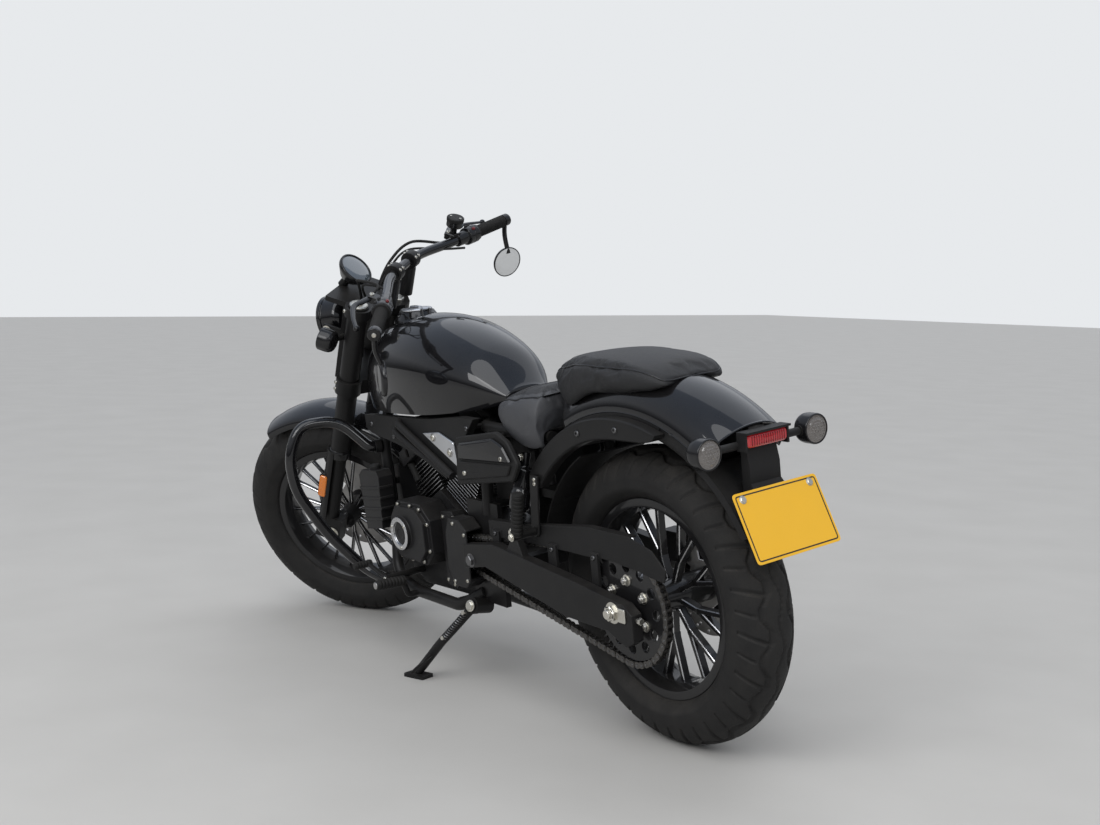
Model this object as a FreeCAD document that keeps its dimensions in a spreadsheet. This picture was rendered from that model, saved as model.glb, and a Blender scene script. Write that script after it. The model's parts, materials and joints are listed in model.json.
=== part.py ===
import FreeCAD, Part
import math
import os

import Sketcher
from FreeCAD import Placement, Rotation, Vector

# A black cruiser motorcycle with chain drive, leaning on its side stand with the steering on its left stop.
# Lengths are millimetres and angles are degrees.
# The bike frame has X forward, Y left and Z up, its origin under the rear axle, and the bike upright in it.
# The fork frame has its Z along the steering axis, X square to it and forward, and turns with the steering.

SIZES = {
    # stance on the floor
    "wheelbase": 1410,
    "lean_angle": 7.32,
    "origin_shift_x": -648,
    "origin_shift_y": -37,
    # steering geometry
    "rake_angle": 26.9,
    "fork_offset": 44.4,
    "steering_stop_angle": 35,
    # rear wheel
    "rear_tyre_radius": 323,
    "rear_tyre_half_width": 75,
    "rear_rim_seat_radius": 203,
    "rear_rim_opening_radius": 187,
    "rear_rim_half_width": 45,
    "rear_hub_radius": 36,
    "rear_hub_half_width": 72,
    "rear_spoke_pairs": 9,
    # front wheel
    "front_tyre_radius": 320,
    "front_tyre_half_width": 65,
    "front_rim_seat_radius": 203,
    "front_rim_opening_radius": 187,
    "front_rim_half_width": 38,
    "front_hub_radius": 30,
    "front_hub_half_width": 46,
    "front_spoke_pairs": 12,
    # shared wheel sections
    "bead_seat_gap": 0.3,
    "rim_flange_height": 14,
    "rim_flange_width": 5,
    "sidewall_bulge_height": 29,
    "rear_spoke_width": 12.5,
    "rear_spoke_depth": 20,
    "rear_spoke_fork_radius": 84,
    "rear_spoke_spread": 31,
    "rear_spoke_turn": 16.6,
    "front_spoke_width": 7.5,
    "front_spoke_depth": 13,
    "front_spoke_fork_radius": 66,
    "front_spoke_spread": 24,
    "front_spoke_turn": 12.7,
    "axle_radius": 10,
    "axle_bore_gap": 0.05,
    # chain drive
    "chain_pitch": 15.875,
    "chain_plane_y": 119,
    "chain_width": 16,
    "chain_plate_half_height": 7.4,
    "chain_waist_half_height": 5.6,
    "rear_sprocket_teeth": 48,
    "drive_sprocket_teeth": 15,
    "chain_links": 108,
    "drive_sprocket_z": 345,
    "sprocket_thickness": 6,
    "sprocket_bore_radius": 44,
    "sprocket_bolt_circle_radius": 59,
    "sprocket_bolt_radius": 6,
    "sprocket_window_radius": 12,
    "sprocket_window_circle_radius": 88,
    # brakes
    "rear_disc_radius": 115,
    "rear_disc_y": -91.55,
    "front_disc_radius": 145,
    "front_disc_y": -66,
    "disc_thickness": 4.5,
    # swingarm
    "swingarm_pivot_x": 540,
    "swingarm_pivot_z": 345,
    "swingarm_inner_y": 138,
    "swingarm_outer_y": 165,
    "swingarm_pivot_tube_radius": 24,
    "axle_nut_radius": 15,
    "axle_end_y": 183,
    "rear_fender_radius": 490,
    "rear_fender_half_width": 104,
    "rear_fender_end_angle": 126.5,
    # frame tubes
    "head_tube_radius": 30,
    "head_tube_low": 505,
    "head_tube_high": 680,
    "steering_stem_radius": 16,
    "stem_bore_gap": 0.05,
    "backbone_radius": 24,
    "down_tube_radius": 15,
    "down_tube_spread": 88,
    "cradle_spread": 112,
    "pivot_plate_spread": 92,
    "seat_rail_spread": 89,
    "seat_rail_z": 652.3,
    "pivot_plate_thickness": 14,
    # engine
    "crank_x": 800,
    "crank_z": 330,
    "crankcase_half_width": 76,
    "cylinder_v_angle": 60,
    "cylinder_half_size": 62,
    "cylinder_start": 118,
    "cylinder_height": 118,
    "fin_pitch": 10,
    "fin_depth": 8,
    "fin_thickness": 3,
    "head_height": 92,
    "cover_ring_x": 874,
    "cover_ring_z": 360,
    "cover_ring_radius": 43,
    "left_cover_outer_y": 168,
    # fork
    "fork_leg_x": 62,
    "fork_leg_spread": 105,
    "fork_outer_radius": 27,
    "fork_inner_radius": 20.5,
    "fork_outer_low": 250,
    "fork_top": 718,
    "lower_clamp_z": 455,
    "lower_clamp_height": 42,
    "upper_clamp_z": 688,
    "upper_clamp_height": 26,
    # handlebar
    "bar_radius": 12.7,
    "bar_clamp_x": -2,
    "bar_clamp_z": 814,
    "bar_bend_y": 200,
    "bar_bend_x": -50,
    "bar_bend_z": 822,
    "bar_end_x": -118,
    "bar_end_y": 406,
    "bar_end_z": 837,
    "grip_radius": 17,
    "grip_length": 118,
    "footrest_x": 892,
    "cradle_z": 191,
    # side stand
    "stand_pivot_x": 588,
    "stand_pivot_y": 140,
    "stand_pivot_z": 218,
    "stand_foot_x": 725,
    "stand_foot_y": 238,
    "stand_leg_radius": 11,
    "stand_pin_radius": 8,
    "stand_swing_angle": 92,
    # fuel lid and engine guard
    "lid_x": 955,
    "lid_z": 909.3,
    "lid_radius": 42,
    "lid_pin_radius": 2,
    "guard_tube_radius": 14.5,
    # number plate
    "plate_width": 220,
    "plate_height": 140,
    "plate_thickness": 1.5,
    "plate_centre_x": -356,
    "plate_centre_z": 538,
    "plate_tilt_angle": 25.8,
}


class Size:
    """A size with the number it has now and the sheet expression that gives it."""

    def __init__(self, number, text):
        self.number = float(number)
        self.text = text

    def __float__(self):
        return self.number

    def __neg__(self):
        return Size(-self.number, f"(0 - {self.text})")

    def __add__(self, other):
        other = as_size(other)
        return Size(self.number + other.number, f"({self.text} + {other.text})")

    def __sub__(self, other):
        other = as_size(other)
        return Size(self.number - other.number, f"({self.text} - {other.text})")

    def __mul__(self, other):
        other = as_size(other)
        return Size(self.number * other.number, f"({self.text} * {other.text})")

    def __truediv__(self, other):
        other = as_size(other)
        return Size(self.number / other.number, f"({self.text} / {other.text})")

    def __radd__(self, other):
        return as_size(other) + self

    def __rsub__(self, other):
        return as_size(other) - self

    def __rmul__(self, other):
        return as_size(other) * self


def as_size(value):
    """Wrap a bare number so that it can stand in an expression."""
    if isinstance(value, Size):
        return value
    return Size(value, repr(round(float(value), 6)))


doc = FreeCAD.newDocument("CruiserMotorcycle")
sheet = doc.addObject("Spreadsheet::Sheet", "Sizes")
for row, (alias, number) in enumerate(SIZES.items(), start=1):
    sheet.set(f"A{row}", alias)
    sheet.set(f"B{row}", str(number))
    sheet.setAlias(f"B{row}", alias)
doc.recompute()


def size(alias):
    """The named size, with its value read from the sheet."""
    return Size(getattr(sheet, alias), f"Sizes.{alias}")


def value(alias):
    """The number of a named size."""
    return float(getattr(sheet, alias))


# Sketch, body and shape helpers


def bind(item, path, amount):
    """Bind one property of an object to a size."""
    item.setExpression(path, as_size(amount).text)


def new_body(label):
    body = doc.addObject("PartDesign::Body", label)
    body.Label = label
    return body


def origin_plane(body, role):
    return [item for item in body.Origin.OriginFeatures if item.Role == role][0]


def new_sketch(body, name, role, origin=(0, 0, 0)):
    """A sketch parallel to an origin plane of its body, with its own origin at a point of the body."""
    sketch = body.newObject("Sketcher::SketchObject", name)
    sketch.AttachmentSupport = (origin_plane(body, role), "")
    sketch.MapMode = "FlatFace"
    x, y, z = [as_size(part) for part in origin]
    offsets = {"XY_Plane": (x, y, z), "XZ_Plane": (x, z, -y), "YZ_Plane": (y, z, x)}[role]
    for axis, offset in zip("xyz", offsets):
        bind(sketch, f"AttachmentOffset.Base.{axis}", offset)
    return sketch


def pin_point(sketch, edge, end, x, y):
    """Hold one end of an edge at a place that is bound to its sizes."""
    for kind, amount in (("DistanceX", x), ("DistanceY", y)):
        amount = as_size(amount)
        index = sketch.addConstraint(Sketcher.Constraint(kind, -1, 1, edge, end, amount.number))
        sketch.setExpression(f"Constraints[{index}]", amount.text)


def draw_polygon(sketch, points):
    """Draw a closed polygon whose corners are pairs of sizes."""
    corners = [Vector(float(x), float(y), 0) for x, y in points]
    count = len(corners)
    first = sketch.GeometryCount
    for index in range(count):
        sketch.addGeometry(Part.LineSegment(corners[index], corners[(index + 1) % count]), False)
    for index in range(count):
        following = first + (index + 1) % count
        sketch.addConstraint(Sketcher.Constraint("Coincident", first + index, 2, following, 1))
        pin_point(sketch, first + index, 1, *points[index])


def draw_circle(sketch, x, y, radius):
    """Draw a circle whose centre and radius are sizes."""
    radius = as_size(radius)
    centre = Vector(float(x), float(y), 0)
    edge = sketch.addGeometry(Part.Circle(centre, Vector(0, 0, 1), radius.number), False)
    pin_point(sketch, edge, 3, x, y)
    index = sketch.addConstraint(Sketcher.Constraint("Radius", edge, radius.number))
    sketch.setExpression(f"Constraints[{index}]", radius.text)


def pad(body, sketch, length, midplane=False, reverse=False):
    feature = body.newObject("PartDesign::Pad", sketch.Name + "Pad")
    feature.Profile = sketch
    feature.Midplane = midplane
    feature.Reversed = reverse
    bind(feature, "Length", length)
    body.Tip = feature
    return feature


def pocket(body, sketch, length, midplane=False, reverse=False):
    """Cut a pocket and check that it takes material away."""
    doc.recompute()
    before = body.Shape.Volume
    feature = body.newObject("PartDesign::Pocket", sketch.Name + "Pocket")
    feature.Profile = sketch
    feature.Midplane = midplane
    feature.Reversed = reverse
    bind(feature, "Length", length)
    body.Tip = feature
    doc.recompute()
    if body.Shape.Volume >= before:
        raise RuntimeError(f"{feature.Name} cuts nothing")
    return feature


def revolve(body, sketch, angle=360, axis="H_Axis", midplane=False):
    feature = body.newObject("PartDesign::Revolution", sketch.Name + "Revolution")
    feature.Profile = sketch
    feature.ReferenceAxis = (sketch, [axis])
    feature.Midplane = midplane
    bind(feature, "Angle", angle)
    body.Tip = feature
    return feature


def groove(body, sketch):
    """Turn a section away from a body and check that it takes material away."""
    doc.recompute()
    before = body.Shape.Volume
    feature = body.newObject("PartDesign::Groove", sketch.Name + "Groove")
    feature.Profile = sketch
    feature.ReferenceAxis = (sketch, ["H_Axis"])
    feature.Angle = 360
    body.Tip = feature
    doc.recompute()
    if body.Shape.Volume >= before:
        raise RuntimeError(f"{feature.Name} cuts nothing")
    return feature


def polar_copies(body, features, sketch, count):
    """Repeat features around the normal axis of a sketch."""
    pattern = body.newObject("PartDesign::PolarPattern", features[0].Name + "Copies")
    pattern.Originals = features
    pattern.Axis = (sketch, ["N_Axis"])
    pattern.Angle = 360
    bind(pattern, "Occurrences", count)
    body.Tip = pattern
    return pattern


def mirror_to_right(body, features):
    """Repeat the left side's features on the right side."""
    mirror = body.newObject("PartDesign::Mirrored", features[0].Name + "Mirror")
    mirror.Originals = features
    mirror.MirrorPlane = (origin_plane(body, "XZ_Plane"), [""])
    body.Tip = mirror
    return mirror


def side_plate(body, name, points, outer_y, thickness):
    """Pad a side outline, drawn in X and Z, from its outer face towards the middle."""
    sketch = new_sketch(body, name, "XZ_Plane", (0, outer_y, 0))
    draw_polygon(sketch, points)
    return pad(body, sketch, thickness)


def loft_rings(body, name, stations, half_section):
    """Loft a body along X through sections that are the same on both sides of the middle."""
    sketches = []
    for number, station in enumerate(stations):
        sketch = new_sketch(body, f"{name}{number}", "YZ_Plane", (station[0], 0, 0))
        half_section(sketch, *station[1:])
        sketches.append(sketch)
    loft = body.newObject("PartDesign::AdditiveLoft", name)
    loft.Profile = sketches[0]
    loft.Sections = sketches[1:]
    loft.Ruled = False
    body.Tip = loft
    return loft


def feature_of(label, shape):
    """A sub-part whose shape comes from Part's own functions."""
    feature = doc.addObject("Part::Feature", label)
    feature.Label = label
    feature.Shape = shape
    return feature


def bent_path(points, bend_radius):
    """Straight runs through the points, joined by tangent arcs."""
    points = [Vector(*[float(part) for part in point]) for point in points]
    edges = []
    start = points[0]
    for before, corner, after in zip(points, points[1:], points[2:]):
        into = (corner - before).normalize()
        out_of = (after - corner).normalize()
        turn = into.getAngle(out_of)
        room = 0.45 * min((corner - before).Length, (after - corner).Length)
        cut = min(float(bend_radius) * math.tan(turn / 2), room)
        if turn < 0.01:
            continue
        radius = cut / math.tan(turn / 2)
        inward = (out_of - into).normalize()
        middle = corner + inward * (radius / math.cos(turn / 2) - radius)
        first = corner - into * cut
        last = corner + out_of * cut
        edges.append(Part.LineSegment(start, first).toShape())
        edges.append(Part.Arc(first, middle, last).toShape())
        start = last
    edges.append(Part.LineSegment(start, points[-1]).toShape())
    return Part.Wire(edges)


def tube(points, radius, bend_radius=60):
    """A round bar along straight runs with tangent bends."""
    path = bent_path(points, bend_radius)
    start = path.Edges[0].Vertexes[0].Point
    direction = path.Edges[0].tangentAt(path.Edges[0].FirstParameter)
    ring = Part.Wire([Part.makeCircle(float(radius), start, direction)])
    return path.makePipeShell([ring], True, True)


def cylinder(start, end, radius):
    """A round bar between two points."""
    start = Vector(*[float(part) for part in start])
    along = Vector(*[float(part) for part in end]) - start
    return Part.makeCylinder(float(radius), along.Length, start, along)


def block(low, high):
    """A box between two opposite corners."""
    low = Vector(*[float(part) for part in low])
    high = Vector(*[float(part) for part in high])
    reach = high - low
    return Part.makeBox(reach.x, reach.y, reach.z, low)


def mirrored(shape):
    """The same shape on the other side of the middle plane."""
    return shape.mirror(Vector(0, 0, 0), Vector(0, 1, 0))


def fused(shapes):
    """Join shapes into one and drop the seams between them."""
    return shapes[0].fuse(shapes[1:]).removeSplitter()


def both_sides(shape):
    return Part.makeCompound([shape, mirrored(shape)])


# Stance: the lean is given, and pitch and height put both tyres on the floor

rear_axle = Vector(0, 0, value("rear_tyre_radius"))
front_axle = Vector(value("wheelbase"), 0, value("front_tyre_radius"))
rake = math.radians(value("rake_angle"))
steering_direction = Vector(-math.sin(rake), 0, math.cos(rake))
steering_origin = front_axle - Vector(math.cos(rake), 0, math.sin(rake)) * value("fork_offset")
fork_frame = Placement(steering_origin, Rotation(Vector(0, 1, 0), -value("rake_angle")))
steered = Placement(Vector(0, 0, 0), Rotation(Vector(0, 0, 1), value("steering_stop_angle")))

CROWN_ANGLES = (-70, -42, -14, 14, 42, 70)


def crown_points(tyre_radius, half_width):
    """Corners of the tread: places across the tyre and radii from the axle."""
    ring_radius = tyre_radius - half_width
    points = []
    for angle in CROWN_ANGLES:
        across = half_width * math.sin(math.radians(angle))
        points.append((across, ring_radius + half_width * math.cos(math.radians(angle))))
    return points


def lowest_point(placement, centre, axle, tyre_radius, half_width):
    """Height of the lowest tread corner of a wheel after a placement."""
    middle = placement.multVec(centre)
    axis = placement.Rotation.multVec(axle)
    drop = math.sqrt(1 - axis.z ** 2)
    crown = crown_points(tyre_radius, half_width)
    return min(middle.z + across * axis.z - radius * drop for across, radius in crown)


def leaning(pitch):
    """The bike frame after its lean and a small pitch, before it is lifted to the floor."""
    lean = Rotation(Vector(1, 0, 0), -value("lean_angle"))
    return Placement(Vector(0, 0, 0), lean.multiply(Rotation(Vector(0, 1, 0), pitch)))


front_axle_direction = fork_frame.multiply(steered).Rotation.multVec(Vector(0, 1, 0))
front_axle_steered = fork_frame.multiply(steered).multVec(Vector(value("fork_offset"), 0, 0))


def tyre_heights(pitch):
    """Lowest points of the rear and the front tyre at a pitch."""
    stance = leaning(pitch)
    rear = lowest_point(stance, rear_axle, Vector(0, 1, 0),
                        value("rear_tyre_radius"), value("rear_tyre_half_width"))
    front = lowest_point(stance, front_axle_steered, front_axle_direction,
                         value("front_tyre_radius"), value("front_tyre_half_width"))
    return rear, front


def standing_placement():
    """Pitch the bike until both tyres are level, then set it on the floor."""
    low, high = -5.0, 5.0
    for _ in range(60):
        pitch = (low + high) / 2
        rear, front = tyre_heights(pitch)
        if front > rear:
            low = pitch
        else:
            high = pitch
    stance = leaning(pitch)
    stance.Base = Vector(value("origin_shift_x"), value("origin_shift_y"), -rear)
    return stance


STANDING = standing_placement()
STEERED = STANDING.multiply(fork_frame).multiply(steered)
UP_ON_BIKE = STANDING.Rotation.inverted().multVec(Vector(0, 0, 1))


def floor_height(x, y):
    """Height of the floor, in the bike frame, below a place on the bike."""
    on_floor = STANDING.inverse().multVec(Vector(0, 0, 0))
    return on_floor.z - ((x - on_floor.x) * UP_ON_BIKE.x + (y - on_floor.y) * UP_ON_BIKE.y) / UP_ON_BIKE.z


# Wheels


def make_tyre(label, wheel):
    """A tyre as one ring whose tread has flat facets, seated on its rim."""
    radius = size(wheel + "_tyre_radius")
    half_width = size(wheel + "_tyre_half_width")
    seat = size(wheel + "_rim_seat_radius") + size("bead_seat_gap")
    bead_y = size(wheel + "_rim_half_width") - size("bead_seat_gap")
    flange = size(wheel + "_rim_seat_radius") + size("rim_flange_height")
    bulge = flange + size("sidewall_bulge_height")
    body = new_body(label)
    sketch = new_sketch(body, label + "Section", "YZ_Plane")
    ring = radius - half_width
    tread = []
    for angle in CROWN_ANGLES:
        across = half_width * math.sin(math.radians(angle))
        tread.append((across, ring + half_width * math.cos(math.radians(angle))))
    side = [(half_width * 0.97, bulge), (bead_y, flange), (bead_y, seat)]
    points = tread + side + [(-across, height) for across, height in reversed(side)]
    draw_polygon(sketch, points)
    revolve(body, sketch)
    return body


def make_wheel(label, wheel, hub_profile):
    """A cast wheel: rim, hub and spokes that fork towards the rim."""
    seat = size(wheel + "_rim_seat_radius")
    opening = size(wheel + "_rim_opening_radius")
    half_width = size(wheel + "_rim_half_width")
    flange_y = half_width + size("rim_flange_width")
    flange = seat + size("rim_flange_height")
    well = opening + 4
    body = new_body(label)
    rim = new_sketch(body, label + "Rim", "YZ_Plane")
    draw_polygon(rim, [
        (-flange_y, flange), (-half_width, flange), (-half_width, seat), (half_width, seat),
        (half_width, flange), (flange_y, flange), (flange_y, well + 7), (half_width * 0.5, opening),
        (half_width * -0.5, opening), (-flange_y, well + 7)])
    revolve(body, rim)
    hub = new_sketch(body, label + "Hub", "YZ_Plane")
    draw_polygon(hub, hub_profile)
    revolve(body, hub)
    spoke_plane = new_sketch(body, label + "Spokes", "XZ_Plane")
    half = size(wheel + "_spoke_width") / 2
    root = size(wheel + "_hub_radius") - 6
    fork = size(wheel + "_spoke_fork_radius")
    spread = size(wheel + "_spoke_spread")
    tip = opening + 2
    crotch = fork + (tip - fork) * half * 0.8 / (spread - half * 0.2)
    draw_polygon(spoke_plane, [
        (-half, root), (half, root), (half, fork), (spread + half * 0.8, tip), (spread - half * 0.8, tip),
        (0, crotch), (half * 0.8 - spread, tip), (half * -0.8 - spread, tip), (-half, fork)])
    spokes = pad(body, spoke_plane, size(wheel + "_spoke_depth"), midplane=True)
    polar_copies(body, [spokes], spoke_plane, size(wheel + "_spoke_pairs"))
    return body


def make_rear_wheel():
    hub = size("rear_hub_radius")
    half = size("rear_hub_half_width")
    bore = size("axle_radius") + size("axle_bore_gap")
    carrier_face = size("chain_plane_y") - size("sprocket_thickness") / 2
    profile = [(-half - 17, bore), (carrier_face, bore), (carrier_face, hub + 32),
               (carrier_face - 14, hub + 32), (half, hub), (-half, hub), (-half - 17, hub)]
    return make_wheel("rear_wheel", "rear", profile)


def make_front_wheel():
    hub = size("front_hub_radius")
    half = size("front_hub_half_width")
    bore = size("axle_radius") + size("axle_bore_gap")
    disc_face = 0 - size("front_disc_y") - size("disc_thickness") / 2 - 0.3
    profile = [(-disc_face, bore), (half + 14, bore), (half + 14, hub - 8), (half, hub),
               (-half, hub), (-disc_face, hub + 8)]
    return make_wheel("front_wheel", "front", profile)


def make_disc(label, wheel, hub_radius):
    """A brake disc with a ring of slots and five carrier arms."""
    body = new_body(label)
    radius = size(wheel + "_disc_radius")
    sketch = new_sketch(body, label + "Plate", "XZ_Plane", (0, size(wheel + "_disc_y"), 0))
    draw_circle(sketch, 0, 0, radius)
    draw_circle(sketch, 0, 0, hub_radius)
    pad(body, sketch, size("disc_thickness"), midplane=True)
    doc.recompute()
    window = new_sketch(body, label + "Window", "XZ_Plane", (0, size(wheel + "_disc_y"), 0))
    middle = (radius + hub_radius) / 2 - 6
    draw_polygon(window, [(-16, middle - 11), (16, middle - 11), (20, middle + 9), (-20, middle + 9)])
    cut = pocket(body, window, 20, midplane=True)
    polar_copies(body, [cut], window, 5)
    doc.recompute()
    holes = new_sketch(body, label + "Hole", "XZ_Plane", (0, size(wheel + "_disc_y"), 0))
    draw_circle(holes, 0, radius - 9, 3.5)
    draw_circle(holes, 8, radius - 19, 3.5)
    cut = pocket(body, holes, 20, midplane=True)
    polar_copies(body, [cut], holes, 18)
    return body


def pitch_radius(teeth_alias):
    return value("chain_pitch") / 2 / math.sin(math.pi / value(teeth_alias))


def make_rear_sprocket():
    """The driven sprocket: toothed ring, round windows and six bolts with nuts."""
    body = new_body("rear_sprocket")
    plane_y = size("chain_plane_y")
    thickness = size("sprocket_thickness")
    pitch = pitch_radius("rear_sprocket_teeth")
    outer = pitch + 4
    root = pitch - 8.5
    plate = new_sketch(body, "SprocketPlate", "XZ_Plane", (0, plane_y, 0))
    draw_circle(plate, 0, 0, outer)
    draw_circle(plate, 0, 0, size("axle_radius") + 5)
    pad(body, plate, thickness, midplane=True)
    gap = new_sketch(body, "ToothGap", "XZ_Plane", (0, plane_y, 0))
    half_tooth_angle = math.pi / value("rear_sprocket_teeth")
    draw_polygon(gap, [(-5.1, root), (5.1, root), (math.sin(half_tooth_angle) * (outer + 2) - 0.9, outer + 2),
                       (0.9 - math.sin(half_tooth_angle) * (outer + 2), outer + 2)])
    cut = pocket(body, gap, 20, midplane=True)
    polar_copies(body, [cut], gap, size("rear_sprocket_teeth"))
    window = new_sketch(body, "SprocketWindow", "XZ_Plane", (0, plane_y, 0))
    draw_circle(window, 0, size("sprocket_window_circle_radius"), size("sprocket_window_radius"))
    cut = pocket(body, window, 20, midplane=True)
    polar_copies(body, [cut], window, 12)
    nuts = new_sketch(body, "SprocketNuts", "XZ_Plane", (0, plane_y + thickness / 2 - 0.5, 0))
    draw_circle(nuts, 0, size("sprocket_bolt_circle_radius"), size("sprocket_bolt_radius") + 2)
    nut = pad(body, nuts, 9.5, reverse=True)
    polar_copies(body, [nut], nuts, 6)
    return body


# Chain: links around both sprockets, all in one loop


def chain_path(across):
    """Pitch radii, tilt and slant of the runs and their length, for a drive sprocket at a distance ahead."""
    rear = pitch_radius("rear_sprocket_teeth")
    drive = pitch_radius("drive_sprocket_teeth")
    rise = value("drive_sprocket_z") - value("rear_tyre_radius")
    distance = math.hypot(across, rise)
    tilt = math.atan2(rise, across)
    slant = math.acos((rear - drive) / distance)
    return rear, drive, tilt, slant, math.sqrt(distance ** 2 - (rear - drive) ** 2)


def chain_lengths(across):
    """Lengths of the upper run, the drive sprocket's arc, the lower run and the rear sprocket's arc."""
    rear, drive, tilt, slant, run = chain_path(across)
    return run, drive * 2 * slant, run, rear * (2 * math.pi - 2 * slant)


def link_step():
    """Length of one link, measured along the rear sprocket's pitch circle."""
    return 2 * math.pi * pitch_radius("rear_sprocket_teeth") / value("rear_sprocket_teeth")


def drive_sprocket_place():
    """Distance of the drive sprocket ahead of the rear axle that a whole chain fits."""
    low, high = 300.0, 1200.0
    for _ in range(60):
        across = (low + high) / 2
        if sum(chain_lengths(across)) < value("chain_links") * link_step():
            low = across
        else:
            high = across
    return across


DRIVE_X = drive_sprocket_place()


def chain_point(along, offset):
    """Place on the chain at a distance along the pitch line, moved outwards by an offset."""
    rear, drive, tilt, slant, run = chain_path(DRIVE_X)
    lengths = chain_lengths(DRIVE_X)
    drive_centre = Vector(DRIVE_X, 0, value("drive_sprocket_z"))
    along = along % sum(lengths)
    if along < lengths[0]:
        normal = tilt + slant
        start = rear_axle + polar(rear + offset, normal)
        return start + polar(along, normal - math.pi / 2)
    along -= lengths[0]
    if along < lengths[1]:
        return drive_centre + polar(drive + offset, tilt + slant - along / drive)
    along -= lengths[1]
    if along < lengths[2]:
        normal = tilt - slant
        start = drive_centre + polar(drive + offset, normal)
        return start + polar(along, normal - math.pi / 2)
    along -= lengths[2]
    return rear_axle + polar(rear + offset, tilt - slant - along / rear)


def polar(length, angle):
    """A step in the side plane at an angle from forward."""
    return Vector(length * math.cos(angle), 0, length * math.sin(angle))


def make_chain():
    """Closed loop of links with scalloped edges and a pocket for the teeth inside each link."""
    rear, drive, tilt, slant, run = chain_path(DRIVE_X)
    plate = value("chain_plate_half_height")
    waist = value("chain_waist_half_height")
    step = link_step()
    first_pin = (tilt + slant - math.pi / 2) * rear % step
    outline = {"outside": [], "inside": []}
    # Columns: share of a link from its pin, side of the pitch line, height from the pitch line
    corners = [(0.0, "outside", plate), (0.5, "outside", waist),
               (-0.22, "inside", -plate), (0.22, "inside", -plate),
               (0.32, "inside", waist - 1), (0.68, "inside", waist - 1)]
    for link in range(int(value("chain_links"))):
        for share, side, height in corners:
            point = chain_point(first_pin + (link + share) * step, height)
            outline[side].append(Vector(point.x, value("chain_plane_y") + value("chain_width") / 2, point.z))
    outside, inside = [Part.Face(Part.makePolygon(points + points[:1])) for points in outline.values()]
    return outside.cut(inside).Faces[0].extrude(Vector(0, -value("chain_width"), 0))


# Frame, swingarm and engine


def on_head(x, height, y=0):
    """A place of the fork frame, unsteered, in the bike frame."""
    return fork_frame.multVec(Vector(x, y, height))


def make_frame():
    """Head tube, backbone, twin down tubes, cradle, seat rails and swingarm plates."""
    low = value("head_tube_low")
    high = value("head_tube_high")
    radius = size("down_tube_radius")
    head = cylinder(on_head(0, low), on_head(0, high), size("head_tube_radius"))
    bore = cylinder(on_head(0, low - 5), on_head(0, high + 5), value("steering_stem_radius") + value("stem_bore_gap"))
    pivot = Vector(value("swingarm_pivot_x"), 0, value("swingarm_pivot_z"))
    backbone = tube([on_head(-20, 600), (940, 0, 790), (640, 0, 664), (560, 0, 638)], size("backbone_radius"), 160)
    tubes = [head, backbone]
    spread = value("down_tube_spread")
    cradle = value("cradle_spread")
    cradle_z = value("cradle_z")
    plate = value("pivot_plate_spread")
    half_plate = value("pivot_plate_thickness") / 2
    rail = value("seat_rail_spread")
    rail_z = value("seat_rail_z")
    for side in (1, -1):
        tubes.append(tube([on_head(-24, low + 60, side * 8), on_head(-96, low - 10, side * 45),
                           (1048, side * spread * 0.96, 560), (1030, side * spread, 330),
                           (1004, side * cradle, cradle_z + 24), (900, side * cradle, cradle_z),
                           (696, side * cradle, cradle_z), (pivot.x + 62, side * plate, 240)], radius, 80))
        tubes.append(tube([(604, side * 10, rail_z), (540, side * rail, rail_z), (264, side * rail, rail_z)],
                          radius, 60))
        tubes.append(block((pivot.x - 34, side * plate - half_plate, 218),
                           (pivot.x + 100, side * plate + half_plate, 470)))
        tubes.append(tube([(pivot.x + 14, side * plate, 440), (pivot.x + 4, side * plate, 560),
                           (500, side * rail, rail_z)], radius, 80))
        tubes.append(cylinder((300, side * rail, rail_z), (290, side * rail, 545), radius - 1.5))
        tubes.append(cylinder((545, side * 80, 657), (545, side * 113.7, 657), 6))
        tubes.append(block((334, side * 96.5 - 8.5, 617), (358, side * 96.5 + 8.5, 646)))
    for x, z, reach in ((pivot.x + 70, 448, plate), (720, cradle_z, cradle), (470, rail_z, rail), (300, rail_z, rail)):
        tubes.append(cylinder((x, -reach, z), (x, reach, z), size("down_tube_radius") - 2))
    shape = fused(tubes)
    pivot_hole = cylinder((pivot.x, -130, pivot.z), (pivot.x, 130, pivot.z), size("axle_radius") + 0.3)
    shaft_hole = cylinder((DRIVE_X, -130, value("drive_sprocket_z")), (DRIVE_X, 130, value("drive_sprocket_z")), 19)
    stand = stand_pivot()
    axis = stand_axis()
    boss = cylinder(stand - axis * 50, stand - axis * 8.5, 19)
    pin = cylinder(stand - axis * 12, stand + axis * 9, value("stand_pin_radius"))
    head_of_pin = cylinder(stand + axis * 8.5, stand + axis * 14, 13)
    return feature_of("frame", fused([shape.cut([bore, pivot_hole, shaft_hole]), boss, pin, head_of_pin]))


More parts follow.
